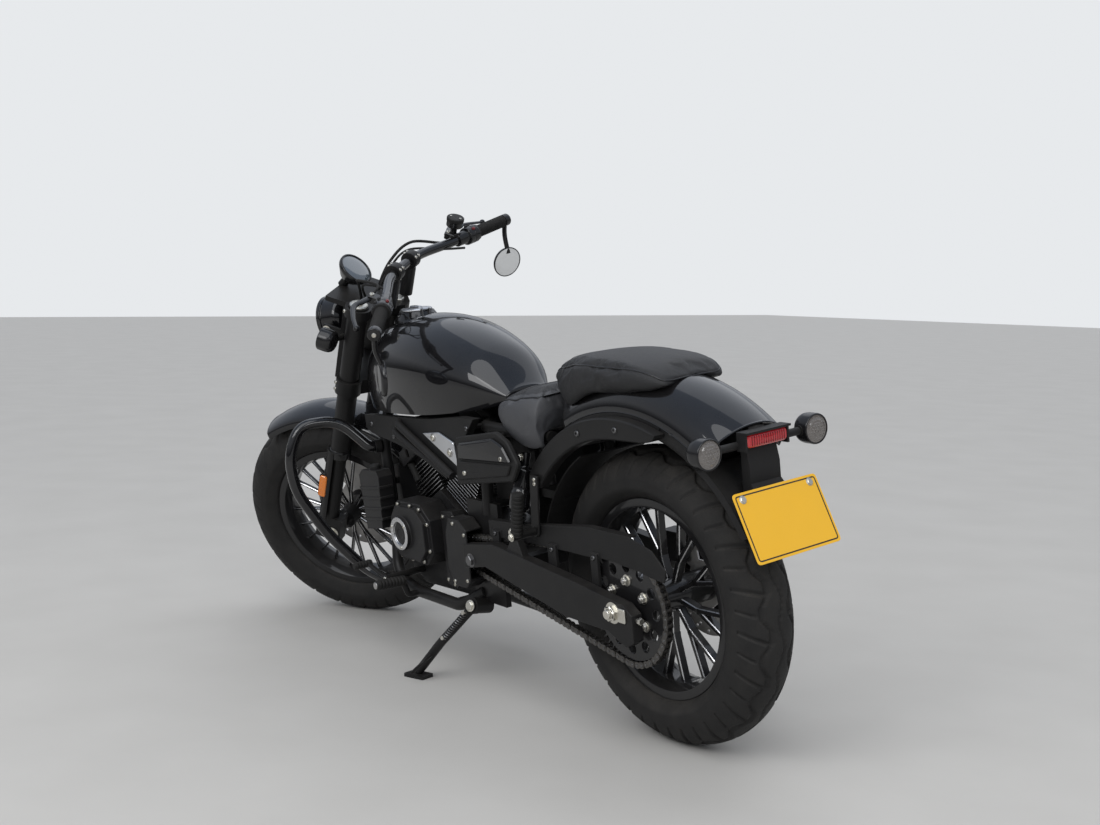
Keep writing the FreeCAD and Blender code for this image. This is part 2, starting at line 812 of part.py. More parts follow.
def make_swingarm():
    """Two box arms outside the chain, pivot tube, cross brace and the axle with its nuts."""
    inner = value("swingarm_inner_y")
    outer = value("swingarm_outer_y")
    pivot_x = value("swingarm_pivot_x")
    pivot_z = value("swingarm_pivot_z")
    axle_z = value("rear_tyre_radius")
    # Columns: X, Z around the arm, from the pivot's top to the axle end and back
    corners = [(pivot_x + 30, pivot_z + 34), (pivot_x - 100, pivot_z + 54), (144, axle_z + 45),
               (-34, axle_z + 22), (-62, axle_z + 4), (-62, axle_z - 52), (-36, axle_z - 68),
               (24, axle_z - 44), (171, axle_z - 42), (pivot_x - 60, pivot_z - 6), (pivot_x + 30, pivot_z - 24)]
    ring = Part.makePolygon([Vector(x, outer, z) for x, z in corners + corners[:1]])
    arm = Part.Face(ring).extrude(Vector(0, inner - outer, 0))
    tubes = [arm, mirrored(arm)]
    tubes.append(cylinder((pivot_x, -inner, pivot_z), (pivot_x, inner, pivot_z),
                          size("swingarm_pivot_tube_radius")))
    tubes.append(block((404, -inner - 5, 322), (436, inner + 5, 358)))
    axle_end = value("axle_end_y")
    tubes.append(cylinder((0, -axle_end, axle_z), (0, axle_end, axle_z), size("axle_radius")))
    for side in (1, -1):
        tubes.append(cylinder((0, side * outer, axle_z), (0, side * (outer + 12), axle_z), size("axle_nut_radius")))
        tubes.append(side_prism([(316, 370), (392, 386), (366, 422.6), (340, 422.6)], side * 142, side * 160))
    shape = fused(tubes)
    plate_y = value("pivot_plate_spread")
    slot = value("pivot_plate_thickness") / 2 + 0.5
    gaps = []
    for side in (1, -1):
        gaps.append(block((pivot_x - 40, side * plate_y - slot, pivot_z - 60),
                          (pivot_x + 28, side * plate_y + slot, pivot_z + 60)))
    pin = cylinder((pivot_x, -inner - 1, pivot_z), (pivot_x, inner + 1, pivot_z), size("axle_radius"))
    return feature_of("swingarm", fused([shape.cut(gaps), pin]))


def make_engine():
    """Crankcase as one heavy block with faces for the cylinders, mounting lugs and the drive sprocket."""
    body = new_body("engine")
    crank_x = size("crank_x")
    crank_z = size("crank_z")
    half = size("crankcase_half_width")
    tilt = math.radians(value("cylinder_v_angle") / 2)
    seat = size("cylinder_start") - 0.3
    reach = size("cylinder_half_size") + 4
    low_x = seat * math.sin(tilt) + reach * math.cos(tilt)
    low_z = seat * math.cos(tilt) - reach * math.sin(tilt)
    valley_z = seat / math.cos(tilt)
    # Columns: X and Z from the crankshaft
    corners = [(-195, -60), (-170, -110), (-90, -122), (120, -128), (180, -96), (195, 0),
               (low_x + 20, low_z - 10), (low_x, low_z), (0, valley_z), (-low_x, low_z),
               (-low_x - 30, low_z), (-195, 50)]
    case = new_sketch(body, "Crankcase", "XZ_Plane")
    draw_polygon(case, [(crank_x + x, crank_z + z) for x, z in corners])
    pad(body, case, half * 2, midplane=True)
    lugs = new_sketch(body, "MountingLugs", "XZ_Plane")
    lug_x = size("swingarm_pivot_x") + 82
    draw_circle(lugs, lug_x, crank_z - 44, 15)
    draw_circle(lugs, lug_x, crank_z + 40, 15)
    pad(body, lugs, (size("pivot_plate_spread") - size("pivot_plate_thickness") / 2 - 0.3) * 2, midplane=True)
    plane_y = size("chain_plane_y")
    thickness = size("sprocket_thickness")
    shaft = new_sketch(body, "DriveShaft", "XZ_Plane", (0, plane_y + 10, 0))
    draw_circle(shaft, DRIVE_X, size("drive_sprocket_z"), 14)
    pad(body, shaft, plane_y + 20)
    teeth = new_sketch(body, "DriveSprocket", "XZ_Plane", (0, plane_y + thickness / 2, 0))
    draw_circle(teeth, DRIVE_X, size("drive_sprocket_z"), pitch_radius("drive_sprocket_teeth") - 9.5)
    pad(body, teeth, thickness)
    return body


def cylinder_axis(side):
    """Direction of one bank of the engine, with the front bank first."""
    tilt = math.radians(value("cylinder_v_angle") / 2)
    return Vector(side * math.sin(tilt), 0, math.cos(tilt))


def make_cylinders():
    """Two finned cylinders with their heads and covers, one solid each."""
    banks = []
    half = value("cylinder_half_size")
    start = value("cylinder_start")
    height = value("cylinder_height")
    fins = int(height / value("fin_pitch"))
    for side in (1, -1):
        core = block((-half + 8, -half + 8, start), (half - 8, half - 8, start + height + value("head_height")))
        pieces = [core]
        for number in range(fins):
            low = start + 4 + number * value("fin_pitch")
            pieces.append(block((-half, -half, low), (half, half, low + value("fin_thickness"))))
        head_low = start + height + 4
        pieces.append(block((-half - 4, -half - 14, head_low), (half + 4, half + 14, head_low + 40)))
        pieces.append(block((-half + 4, -half - 4, head_low + 36),
                            (half - 4, half + 4, head_low + value("head_height") - 4)))
        bank = fused(pieces)
        bank.Placement = Placement(Vector(value("crank_x"), 0, value("crank_z")),
                                   Rotation(Vector(0, 1, 0), side * value("cylinder_v_angle") / 2))
        banks.append(bank)
    return feature_of("cylinders", Part.makeCompound(banks))


def side_prism(corners, low, high):
    """A side outline of X and Z places, filled between two distances from the middle."""
    ring = Part.makePolygon([Vector(x, low, z) for x, z in corners + corners[:1]])
    return Part.Face(ring).extrude(Vector(0, high - low, 0))


def make_engine_covers():
    """Rounded generator and clutch covers with raised rings, gear covers, and the drive sprocket's cover."""
    covers = []
    x = value("cover_ring_x")
    z = value("cover_ring_z")
    inner = value("crankcase_half_width") + 0.3
    outer = value("left_cover_outer_y")
    radius = value("cover_ring_radius")
    # Columns: X and Z of the housing, from the ring's middle
    housing = [(68, 40), (38, 78), (-72, 80), (-116, 44), (-120, -40), (-84, -76), (30, -76), (66, -42)]
    inset = [(dx * 0.86 - 3, dz * 0.86) for dx, dz in housing]
    # Columns: X and Z of the gear cover
    gears = [(750, 424), (698, 430), (677, 396), (677, 262), (704, 232), (750, 238)]
    for side in (1, -1):
        barrel = side_prism([(x + dx, z + dz) for dx, dz in housing], side * inner, side * (outer - 26))
        step = side_prism([(x + dx, z + dz) for dx, dz in inset], side * (outer - 27), side * (outer - 12))
        ring = cylinder((x, side * (outer - 13), z), (x, side * outer, z), radius)
        dish = cylinder((x, side * (outer - 6), z), (x, side * (outer + 1), z), radius - 13)
        covers.append(fused([barrel, step, ring]).cut(dish))
        covers.append(side_prism(gears, side * inner, side * 112))
    x = DRIVE_X
    z = value("drive_sprocket_z")
    # Columns: X and Z of the drive sprocket's cover, from the drive sprocket
    corners = [(-24, -66), (-28, 0), (-24, 62), (6, 84), (52, 84), (70, 44), (72, -44), (44, -84), (0, -84)]
    low = value("pivot_plate_spread") + value("pivot_plate_thickness") / 2 + 5
    shell = side_prism([(x + dx, z + dz) for dx, dz in corners], low, 150)
    room = block((x - 60, low - 2, z - 58), (x + 52, 145, z + 58))
    foot = block((x + 55, inner, z - 36), (x + 68, low + 2, z + 36))
    covers.append(fused([shell.cut(room), foot]))
    return feature_of("engine_covers", Part.makeCompound(covers))


# Running gear on the frame


def stand_pivot():
    """Middle of the side stand's pivot."""
    return Vector(value("stand_pivot_x"), value("stand_pivot_y"), value("stand_pivot_z"))


def make_side_stand():
    """Leg with a pivot eye, a flat foot that lies on the floor and a small loop for the boot."""
    pivot = stand_pivot()
    foot_x = value("stand_foot_x")
    foot_y = value("stand_foot_y")
    radius = value("stand_leg_radius")
    floor = floor_height(foot_x, foot_y)
    ankle = Vector(foot_x, foot_y, floor) + UP_ON_BIKE * 12
    axis = stand_axis()
    reach = ankle - pivot
    eye = cylinder(pivot - axis * 8, pivot + axis * 8, 20)
    bore = cylinder(pivot - axis * 20, pivot + axis * 20, value("stand_pin_radius") + value("axle_bore_gap"))
    leg = tube([pivot + reach * 0.08, pivot + reach * 0.55 + Vector(0, 8, 0), ankle], radius, 200)
    foot = Part.makeBox(62, 44, 8, Vector(-31, -22, 0))
    foot = foot.makeFillet(6, [edge for edge in foot.Edges if abs(edge.tangentAt(0).z) > 0.9])
    foot.Placement = STANDING.inverse().multiply(
        Placement(STANDING.multVec(Vector(foot_x, foot_y, floor)), Rotation(Vector(0, 0, 1), 20)))
    loop = tube([pivot + reach * 0.72, pivot + reach * 0.74 + Vector(-28, 44, 0),
                 pivot + reach * 0.9 + Vector(-22, 46, 0)], 4, 16)
    return feature_of("side_stand", fused([eye, leg, foot, loop]).cut(bore))


def stand_axis():
    """Pivot axis of the side stand, tilted so that the leg folds up beside the frame."""
    return Vector(-0.2, 0.95, 0.25).normalize()


def make_exhaust():
    """Two header pipes on the right that join into one long silencer."""
    crank = Vector(value("crank_x"), 0, value("crank_z"))
    side = -value("cylinder_half_size") - 14.3
    front = crank + cylinder_axis(1) * 262
    rear = crank + cylinder_axis(-1) * 262
    can_y = -218
    front_pipe = tube([front + Vector(0, side, 0), front + Vector(0, side - 42, 0), (1000, -146, 430),
                       (975, -148, 250), (934, -148, 124), (600, -150, 118), (470, can_y, 205), (420, can_y, 216)],
                      19, 80)
    rear_pipe = tube([rear + Vector(0, side, 0), rear + Vector(0, side - 46, 0), (645, -146, 440),
                      (640, -150, 260), (560, -172, 140)], 19, 60)
    can = turned(Vector(425, can_y, 216), Vector(-1, 0, 0.02),
                 [(0, 0), (20, 0), (24, 8), (48, 70), (48, 450), (40, 484), (26, 500), (0, 500)])
    outlet = cylinder((-30, can_y, 225), (-90, can_y, 226.2), 17)
    return feature_of("exhaust", fused([front_pipe, rear_pipe, can]).cut(outlet))


def make_shocks():
    """A shrouded damper on each side, from the swingarm's lug to the seat rail."""
    low = Vector(353, 150, 440)
    high = Vector(346, 111, 606)
    length = (high - low).Length
    profile = [(0, -15), (11, -15), (11, 18), (15, 20), (15, 44), (23, 52), (24.5, 58), (24.5, 88), (21, 98),
               (21, length - 28), (12, length - 24), (12, length + 9), (0, length + 9)]
    return feature_of("rear_shocks", both_sides(turned(low, high - low, profile)))


def make_radiator():
    """Radiator core between the down tubes, and a ribbed bottle beside the left one."""
    core = side_prism([(1008, 320), (1042, 316), (1062, 500), (1028, 506)], -64, 64)
    bottle = side_prism([(992, 352), (1076, 340), (1092, 486), (1072, 502), (996, 506), (984, 490)], 108, 150)
    strap = block((1030, 101.9, 420), (1046, 109, 440))
    lugs = [block((1034, -70.6, 452), (1046, 70.6, 468))]
    ribs = [side_prism([(980, z), (1090, z - 12), (1090, z - 6), (980, z + 6)], 112, 153) for z in (376, 404, 432, 460)]
    return feature_of("radiator", Part.makeCompound([fused([core] + lugs), fused([bottle, strap] + ribs)]))


def make_fuel_tank():
    """Teardrop tank lofted through rounded sections, with a saddle under it."""
    body = new_body("fuel_tank")

    def section(sketch, half_width, low, middle, high):
        arch = Part.Arc(Vector(float(half_width), float(middle), 0), Vector(0, float(high), 0),
                        Vector(-float(half_width), float(middle), 0))
        base = float(half_width) * 0.92
        left = Part.Arc(Vector(-float(half_width), float(middle), 0),
                        Vector(-float(half_width) * 0.985, (float(middle) * 0.45 + float(low) * 0.55), 0),
                        Vector(-base, float(low), 0))
        right = Part.Arc(Vector(base, float(low), 0),
                         Vector(float(half_width) * 0.985, (float(middle) * 0.45 + float(low) * 0.55), 0),
                         Vector(float(half_width), float(middle), 0))
        floor = Part.LineSegment(Vector(-base, float(low), 0), Vector(base, float(low), 0))
        for curve in (arch, left, floor, right):
            sketch.addGeometry(curve, False)

    # Columns: X, half width, underside, widest height, top
    stations = [(478, 62, 706, 722, 744), (575, 118, 690, 746, 838), (730, 150, 674, 762, 895),
                (900, 150, 666, 764, 902), (1040, 118, 664, 746, 868), (1080, 84, 676, 716, 772)]
    loft_rings(body, "TankLoft", stations, section)
    ring = new_sketch(body, "FillerRing", "XY_Plane", (0, 0, 876))
    draw_circle(ring, size("lid_x"), 0, size("lid_radius") + 4)
    pad(body, ring, size("lid_z") - 876.3)
    hinge_x, hinge_z = lid_hinge()
    ears = new_sketch(body, "LidEars", "XZ_Plane", (0, 13, 0))
    draw_polygon(ears, [(hinge_x - 7, 880), (hinge_x + 2, 880), (hinge_x + 2, hinge_z + 2.3),
                        (hinge_x - 7, hinge_z + 2.3)])
    ear = pad(body, ears, 4.7)
    mirror_to_right(body, [ear])
    pin = new_sketch(body, "LidPin", "XZ_Plane")
    draw_circle(pin, hinge_x, hinge_z, size("lid_pin_radius"))
    pad(body, pin, 24, midplane=True)
    tunnel = new_sketch(body, "BackboneTunnel", "XZ_Plane")
    draw_polygon(tunnel, [(470, 640), (1100, 640), (1100, 856.6), (933.5, 814.2), (630, 687.2), (470, 660)])
    pocket(body, tunnel, 64, midplane=True)
    neck = new_sketch(body, "NeckHollow", "XZ_Plane")
    draw_polygon(neck, [(1034, 640), (1120, 640), (1120, 812), (1060, 812), (1034, 716)])
    pocket(body, neck, 144, midplane=True)
    return body


def lid_hinge():
    """X and Z of the fuel lid's pin, behind the lid's rear edge."""
    return size("lid_x") - size("lid_radius") - 3, size("lid_z") + 4.2


def make_fuel_cap():
    """Flush round lid with a raised bar, hinged at its rear edge on a knuckle."""
    middle = Vector(value("lid_x"), 0, value("lid_z"))
    hinge_x, hinge_z = [float(part) for part in lid_hinge()]
    lid = Part.makeCylinder(value("lid_radius"), 7, middle)
    bar = Part.makeBox(50, 12, 7, middle + Vector(-25, -6, 5))
    knuckle = cylinder((hinge_x, -8, hinge_z), (hinge_x, 8, hinge_z), 4)
    web = block((hinge_x, -8, hinge_z - 3), (hinge_x + 8, 8, hinge_z + 2.8))
    bore = cylinder((hinge_x, -9, hinge_z), (hinge_x, 9, hinge_z), size("lid_pin_radius") + size("axle_bore_gap"))
    return feature_of("fuel_cap", fused([lid, bar, knuckle, web]).cut(bore))


def make_panels():
    """Matt covers under the tank with the tubes that run across them, the right one notched for the rear pipe."""
    # Columns: X, Z around the left cover
    corners = [(1046, 650), (1044, 616), (1016, 604), (884, 586), (697, 546), (600, 536),
               (590, 600), (514, 680), (575, 680), (730, 663), (900, 656)]
    cover = side_prism(corners, 114, 136)
    notch = block((618, -140, 520), (718, -110, 604))
    # Columns: side, end X and end Z of the run across the cover
    runs = [(1, 614, 536), (-1, 752, 600)]
    pieces = []
    for side, x, z in runs:
        shell = cover if side > 0 else mirrored(cover).cut(notch)
        upper = tube([(870, side * 128, 648), (852, side * 146.5, 641), (x, side * 146.5, z)], 10, 20)
        lower = tube([(898, side * 128, 626), (880, side * 144, 619), (x + 18, side * 144, z - 5)], 7.5, 20)
        pieces.append(fused([shell, upper, lower]))
    return feature_of("frame_covers", Part.makeCompound(pieces))


def make_alu_plates():
    """Brushed plate with two bolts behind the frame cover, one on each side."""
    corners = [(745, 628), (668, 637), (604, 618), (594, 560)]
    ring = Part.makePolygon([Vector(x, 142, z) for x, z in corners + corners[:1]])
    plate = Part.Face(ring).extrude(Vector(0, -5.7, 0))
    heads = [cylinder((x, 141, z), (x, 146, z), 7) for x, z in ((694, 622), (622, 592))]
    return feature_of("frame_plates", both_sides(fused([plate] + heads)))


def make_side_covers():
    """Angular covers over the electrics, one on each side below the seat."""
    body = new_body("side_covers")
    outline = [(554, 640), (381, 668), (337, 650), (300, 600), (326, 560), (566, 524)]
    plate = side_plate(body, "SideCoverOutline", outline, 165, 13)
    inner = [(534, 628), (390, 652), (352, 638), (322, 600), (340, 572), (546, 540)]
    boss = side_plate(body, "SideCoverBoss", inner, 172, 8)
    posts = new_sketch(body, "SideCoverPosts", "XZ_Plane", (0, 155, 0))
    draw_circle(posts, 486, 638, 7)
    draw_circle(posts, 438, 644, 7)
    post = pad(body, posts, size("seat_rail_spread") * -1 - 15.3 + 155)
    mirror_to_right(body, [plate, boss, post])
    return body


def make_solo_seat():
    """Rider's seat: a low dish with a raised back."""
    body = new_body("solo_seat")

    def section(sketch, half_width, low, middle, high):
        top = Part.Arc(Vector(float(half_width) * 0.86, float(high), 0), Vector(0, float(high) + 8, 0),
                       Vector(-float(half_width) * 0.86, float(high), 0))
        left = Part.Arc(Vector(-float(half_width) * 0.86, float(high), 0),
                        Vector(-float(half_width), float(middle), 0), Vector(-float(half_width) * 0.86, float(low), 0))
        right = Part.Arc(Vector(float(half_width) * 0.86, float(low), 0), Vector(float(half_width), float(middle), 0),
                         Vector(float(half_width) * 0.86, float(high), 0))
        floor = Part.LineSegment(Vector(-float(half_width) * 0.86, float(low), 0),
                                 Vector(float(half_width) * 0.86, float(low), 0))
        for curve in (top, left, floor, right):
            sketch.addGeometry(curve, False)

    # Columns: X, half width, underside, widest height, top
    stations = [(476.6, 80, 667.6, 690, 710), (414, 132, 667.6, 700, 734), (330, 150, 632, 698, 748),
                (262, 132, 634, 706, 753)]
    loft_rings(body, "SoloSeatLoft", stations, section)
    rails = new_sketch(body, "RailHollow", "XZ_Plane")
    draw_polygon(rails, [(200, 600), (520, 600), (520, 667.6), (200, 667.6)])
    pocket(body, rails, 214, midplane=True)
    return body


# Columns: share of the half width and share of the rise from the side to the crown
FENDER_ARC = [(1.0, 0.0), (0.96, 0.28), (0.85, 0.53), (0.66, 0.75), (0.36, 0.93), (0.0, 1.0)]


def make_pillion_seat():
    """Raised passenger seat over the rear fender."""
    body = new_body("pillion_seat")

    def section(sketch, half_width, low, middle, high):
        top = Part.Arc(Vector(float(half_width) * 0.88, float(high), 0), Vector(0, float(high) + 9, 0),
                       Vector(-float(half_width) * 0.88, float(high), 0))
        left = Part.Arc(Vector(-float(half_width) * 0.88, float(high), 0),
                        Vector(-float(half_width), float(middle), 0), Vector(-float(half_width) * 0.88, float(low), 0))
        right = Part.Arc(Vector(float(half_width) * 0.88, float(low), 0), Vector(float(half_width), float(middle), 0),
                         Vector(float(half_width) * 0.88, float(high), 0))
        floor = Part.LineSegment(Vector(-float(half_width) * 0.88, float(low), 0),
                                 Vector(float(half_width) * 0.88, float(low), 0))
        for curve in (top, left, floor, right):
            sketch.addGeometry(curve, False)

    # Columns: X, half width, underside, widest height, top
    stations = [(300, 46, 764, 771, 780), (264, 70, 764, 776, 802), (200, 102, 728, 772, 820),
                (120, 122, 752, 788, 829), (-16, 116, 768, 798, 825), (-96, 98, 772, 794, 811),
                (-126, 76, 780, 789, 797)]
    loft_rings(body, "PillionSeatLoft", stations, section)
    hollow = new_sketch(body, "FenderHollow", "YZ_Plane", (0, 0, size("rear_tyre_radius")))
    side = size("rear_fender_half_width") + 0.6
    crown = size("rear_fender_radius") + 0.5
    low = crown - 82
    edge = [(side * across, low + (crown - low) * rise) for across, rise in FENDER_ARC]
    back = [(side * -across, low + (crown - low) * rise) for across, rise in FENDER_ARC[-2::-1]]
    draw_polygon(hollow, [(side, 300)] + edge + back + [(-side, 300)])
    groove(body, hollow)
    return body


def arched(profile, centre, start, end):
    """Turn a profile of places across and radii about an axle, between two angles from forward."""
    aim = math.radians(start)
    points = [centre + polar(radius, aim) + Vector(0, across, 0) for across, radius in profile]
    face = Part.Face(Part.makePolygon(points + points[:1]))
    return face.revolve(centre, Vector(0, 1, 0), start - end)


def turned(base, direction, profile):
    """Turn a profile of radii and heights about an axis through the base."""
    direction = Vector(direction).normalize()
    aside = direction.cross(Vector(0, 1, 0.01)).normalize()
    points = [base + aside * radius + direction * height for radius, height in profile]
    return Part.Face(Part.makePolygon(points + points[:1])).revolve(base, direction, 360)


def fender_profile(half_width, low, high, crown, wall):
    """Section of a fender: places across and radii, with turned-down sides and a thin wall."""
    outer = [(-half_width, low), (-half_width * 0.97, high), (-half_width * 0.7, crown - 9), (0, crown),
             (half_width * 0.7, crown - 9), (half_width * 0.97, high), (half_width, low)]
    inner = [(across * (1 - wall / half_width), radius - wall) for across, radius in outer]
    inner[0] = (inner[0][0], low)
    inner[-1] = (inner[-1][0], low)
    return outer + list(reversed(inner))


def make_rear_fender():
    """Arched fender with an elliptical section, concentric with the rear wheel."""
    half_width = value("rear_fender_half_width")
    crown = value("rear_fender_radius")
    low = crown - 82
    wall = 4
    right = [(half_width * across, low + 82 * rise) for across, rise in FENDER_ARC]
    inner = [((half_width - wall) * across, low + (82 - wall) * rise) for across, rise in FENDER_ARC]
    outer = right + [(-across, radius) for across, radius in right[-2::-1]]
    inside = inner + [(-across, radius) for across, radius in inner[-2::-1]]
    profile = outer + inside[::-1]
    return feature_of("rear_fender", arched(profile, rear_axle, 62, value("rear_fender_end_angle")))


def make_fender_struts():
    """Curved struts that carry the fender, with two recessed bolts each."""
    band = arched([(102.8, 354), (126, 354), (130, 358), (130, 396), (126, 401), (102.8, 401)], rear_axle, 38.5, 114)
    flange = arched([(99.5, 384), (105, 384), (105, 407.7), (99.5, 407.7)], rear_axle, 62.5, 113.5)
    holes = []
    for angle in (72, 92):
        place = rear_axle + polar(376, math.radians(angle))
        holes.append(cylinder(place + Vector(0, 126, 0), place + Vector(0, 134, 0), 8))
    return feature_of("fender_struts", both_sides(fused([band.cut(holes), flange])))


def make_tail_light():
    """Flat rounded lens across the tail."""
    lamp = Part.makeBox(20, 104, 26, Vector(-321, -52, 678))
    lamp = lamp.makeFillet(7, [edge for edge in lamp.Edges if abs(edge.tangentAt(0).x) > 0.9])
    return feature_of("tail_light", lamp)


def make_tail_bracket():
    """Carrier behind the fender for tail light, indicators and number plate, with a liner over the tyre."""
    outline = [(-299, 698), (-299, 672), (-306, 640), (-306, 606), (-346, 552), (-330, 520),
               (-284, 590), (-284, 698)]
    neck = side_prism(outline, -40, 40)
    board = Part.makeBox(180, 110, 4, Vector(-90, -55, -4.3))
    board.Placement = plate_placement()
    bar = cylinder((-292, -107.6, 682), (-292, 107.6, 682), 8)
    back = block((-300.4, -58, 672), (-295, 58, 709))
    hood = block((-324, -58, 704.6), (-299, 58, 709))
    cheeks = [block((-318, side * 55 - 2.5, 672), (-299, side * 55 + 2.5, 706)) for side in (1, -1)]
    liner = arched([(-80, 378), (-84, 366), (-80, 362), (-74, 374), (74, 374), (80, 362), (84, 366), (80, 378)],
                   rear_axle, 118, 150)
    foot = block((-292, -24, 592), (-262, 24, 604))
    tongue = arched([(-20, 470), (20, 470), (20, 482.6), (0, 485.7), (-20, 482.6)], rear_axle, 122, 127.6)
    return feature_of("tail_bracket", fused([neck, board, bar, back, hood, liner, foot, tongue] + cheeks))


def plate_placement():
    """Middle of the number plate: X across, Y up the plate and Z out of its back."""
    centre = Vector(value("plate_centre_x"), 0, value("plate_centre_z"))
    tilt = math.radians(value("plate_tilt_angle"))
    across = Vector(0, -1, 0)
    up = Vector(math.sin(tilt), 0, math.cos(tilt))
    return Placement(centre, Rotation(across, up, across.cross(up), "XYZ"))


def make_number_plate():
    """Blank plate with rounded corners and two bolt holes."""
    body = new_body("number_plate")
    outline = new_sketch(body, "PlateOutline", "XY_Plane")
    half_width = size("plate_width") / 2
    half_height = size("plate_height") / 2
    draw_polygon(outline, [(-half_width, -half_height), (half_width, -half_height),
                           (half_width, half_height), (-half_width, half_height)])
    draw_circle(outline, -half_width + 22, half_height - 14, 3.5)
    draw_circle(outline, half_width - 22, half_height - 14, 3.5)
    pad(body, outline, size("plate_thickness"))
    return body


def make_indicators(label, stalk_start, lamp_centre, backwards, length):
    """Round lamp on a short stalk, one on each side."""
    start = Vector(*stalk_start)
    centre = Vector(*lamp_centre)
    direction = Vector(-1 if backwards else 1, 0, 0)
    stalk = tube([start, start + Vector(0, 12, 0), centre], 8, 10)
    shell = Part.makeCylinder(31, length, centre - direction * length / 2, direction)
    shell = shell.makeFillet(9, [shell.Edges[0], shell.Edges[2]])
    return feature_of(label, both_sides(fused([stalk, shell])))


def make_chain_guard():
    """Guard above the chain, from the drive sprocket back to an arch over the driven one."""
    body = new_body("chain_guard")
    axle_z = size("rear_tyre_radius")
    outer_y = 131.5
    # Columns: X, Z from the axle's height
    outline = [(498, 119), (326, 132), (211, 145), (115, 158), (-30, 158), (-101, 139), (-140, 104),
               (-134, 78), (-92, 82), (-60, 88), (-6, 92), (25, 96), (72, 96), (124, 92), (164, 92),
               (190, 92), (340, 88), (498, 80)]
    side_plate(body, "GuardOutline", [(x, axle_z + z) for x, z in outline], outer_y, 3.5)
    top = new_sketch(body, "GuardTop", "XZ_Plane", (0, outer_y, 0))
    draw_polygon(top, [(498, axle_z + 119), (326, axle_z + 132), (115, axle_z + 158), (-30, axle_z + 158),
                       (-30, axle_z + 154), (115, axle_z + 154), (326, axle_z + 128), (498, axle_z + 115)])
    pad(body, top, 22)
    tabs = new_sketch(body, "GuardTabs", "XZ_Plane", (0, size("swingarm_inner_y") - 0.3, 0))
    draw_polygon(tabs, [(226, axle_z + 30), (256, axle_z + 30), (256, axle_z + 102), (226, axle_z + 102)])
    draw_polygon(tabs, [(76, axle_z + 26), (100, axle_z + 26), (100, axle_z + 106), (76, axle_z + 106)])
    draw_polygon(tabs, [(450, axle_z + 50), (478, axle_z + 50), (478, axle_z + 100), (450, axle_z + 100)])
    pad(body, tabs, size("swingarm_inner_y") - outer_y + 2)
    return body


def make_inner_mudguard():
    """Box for the battery below the seat and a curved guard between it and the rear tyre."""
    guard = arched([(-92, 338), (92, 338), (92, 342), (-92, 342)], rear_axle, 14, 61)
    box = block((372, -68, 478), (547, 68, 639))
    rear = block((284, -60, 500), (380, 60, 520))
    return feature_of("inner_mudguard", fused([guard, box, rear]))


def make_footrests():
    """Rider's footrests on their brackets, and the passenger's folded up ahead of the fender struts."""
    x = value("footrest_x")
    z = value("cradle_z")
    side = value("cradle_spread") + value("down_tube_radius") + 0.3
    bracket = tube([(x, side, z), (x, 150, z), (x, 162, z + 40)], 8, 12)
    peg = cylinder((x, 156, z + 40), (x, 240, z + 46), 14)
    arm = side_prism([(296, 574), (268, 574), (280, 440), (312, 430)], 133.4, 139.4)
    pad = block((272, 130.4, 554), (292, 134, 572))
    hinge = cylinder((297, 136, 446), (297, 202, 446), 9)
    folded = cylinder((297, 188, 446), (272, 190, 546), 14)
    return feature_of("footrests", Part.makeCompound([
        fused([bracket, peg]), mirrored(fused([bracket, peg])),
        fused([arm, pad, hinge, folded]), mirrored(fused([arm, pad, hinge, folded]))]))


def make_foot_controls():
    """Gear lever on the left and brake pedal on the right, ahead of the footrests."""
    pieces = []
    for side, out in ((1, 186), (-1, 190)):
        link = cylinder((928, side * (value("crankcase_half_width") + 0.3), 238), (928, side * (out + 6), 238), 9)
        lever = cylinder((928, side * out, 238), (1016, side * (out + 6), 264), 6)
        toe = cylinder((1016, side * (out - 4), 264), (1016, side * (out + 48), 264), 10)
        pieces.append(fused([link, lever, toe]))
    return feature_of("foot_controls", Part.makeCompound(pieces))


def guard_route():
    """Corners of the left loop of the engine guard, from the down tube outwards and back to the cradle."""
    foot = value("cradle_spread") + value("down_tube_radius") + 0.3
    return [(1047, 100.6, 560), (1054, 130, 562), (1098, 190, 640), (1126, 290, 640), (1130, 326, 560),
            (1126, 320, 470), (1110, 250, 340), (1068, 172, 234), (1000, 152, 214), (1000, foot, 214)]


def make_engine_guard():
    """Tubular guard with a loop on each side of the engine, tied to the down tubes."""
    return feature_of("engine_guard", both_sides(tube(guard_route(), size("guard_tube_radius"), 50)))


def make_rear_caliper():
    """Brake calliper on the right, over the rear disc."""
    plane = value("rear_disc_y")
    axle_z = value("rear_tyre_radius")
    grip = block((50, plane - 28, axle_z + 40), (122, plane + 14, axle_z + 106))
    carrier = block((24, -137.7, axle_z + 10), (96, -118, axle_z + 66))
    slot = cylinder((0, plane - 5.5, axle_z), (0, plane + 5.5, axle_z), value("rear_disc_radius") + 5)
    return feature_of("rear_caliper", fused([grip, carrier]).cut(slot))


# Fork and bar, in the fork frame


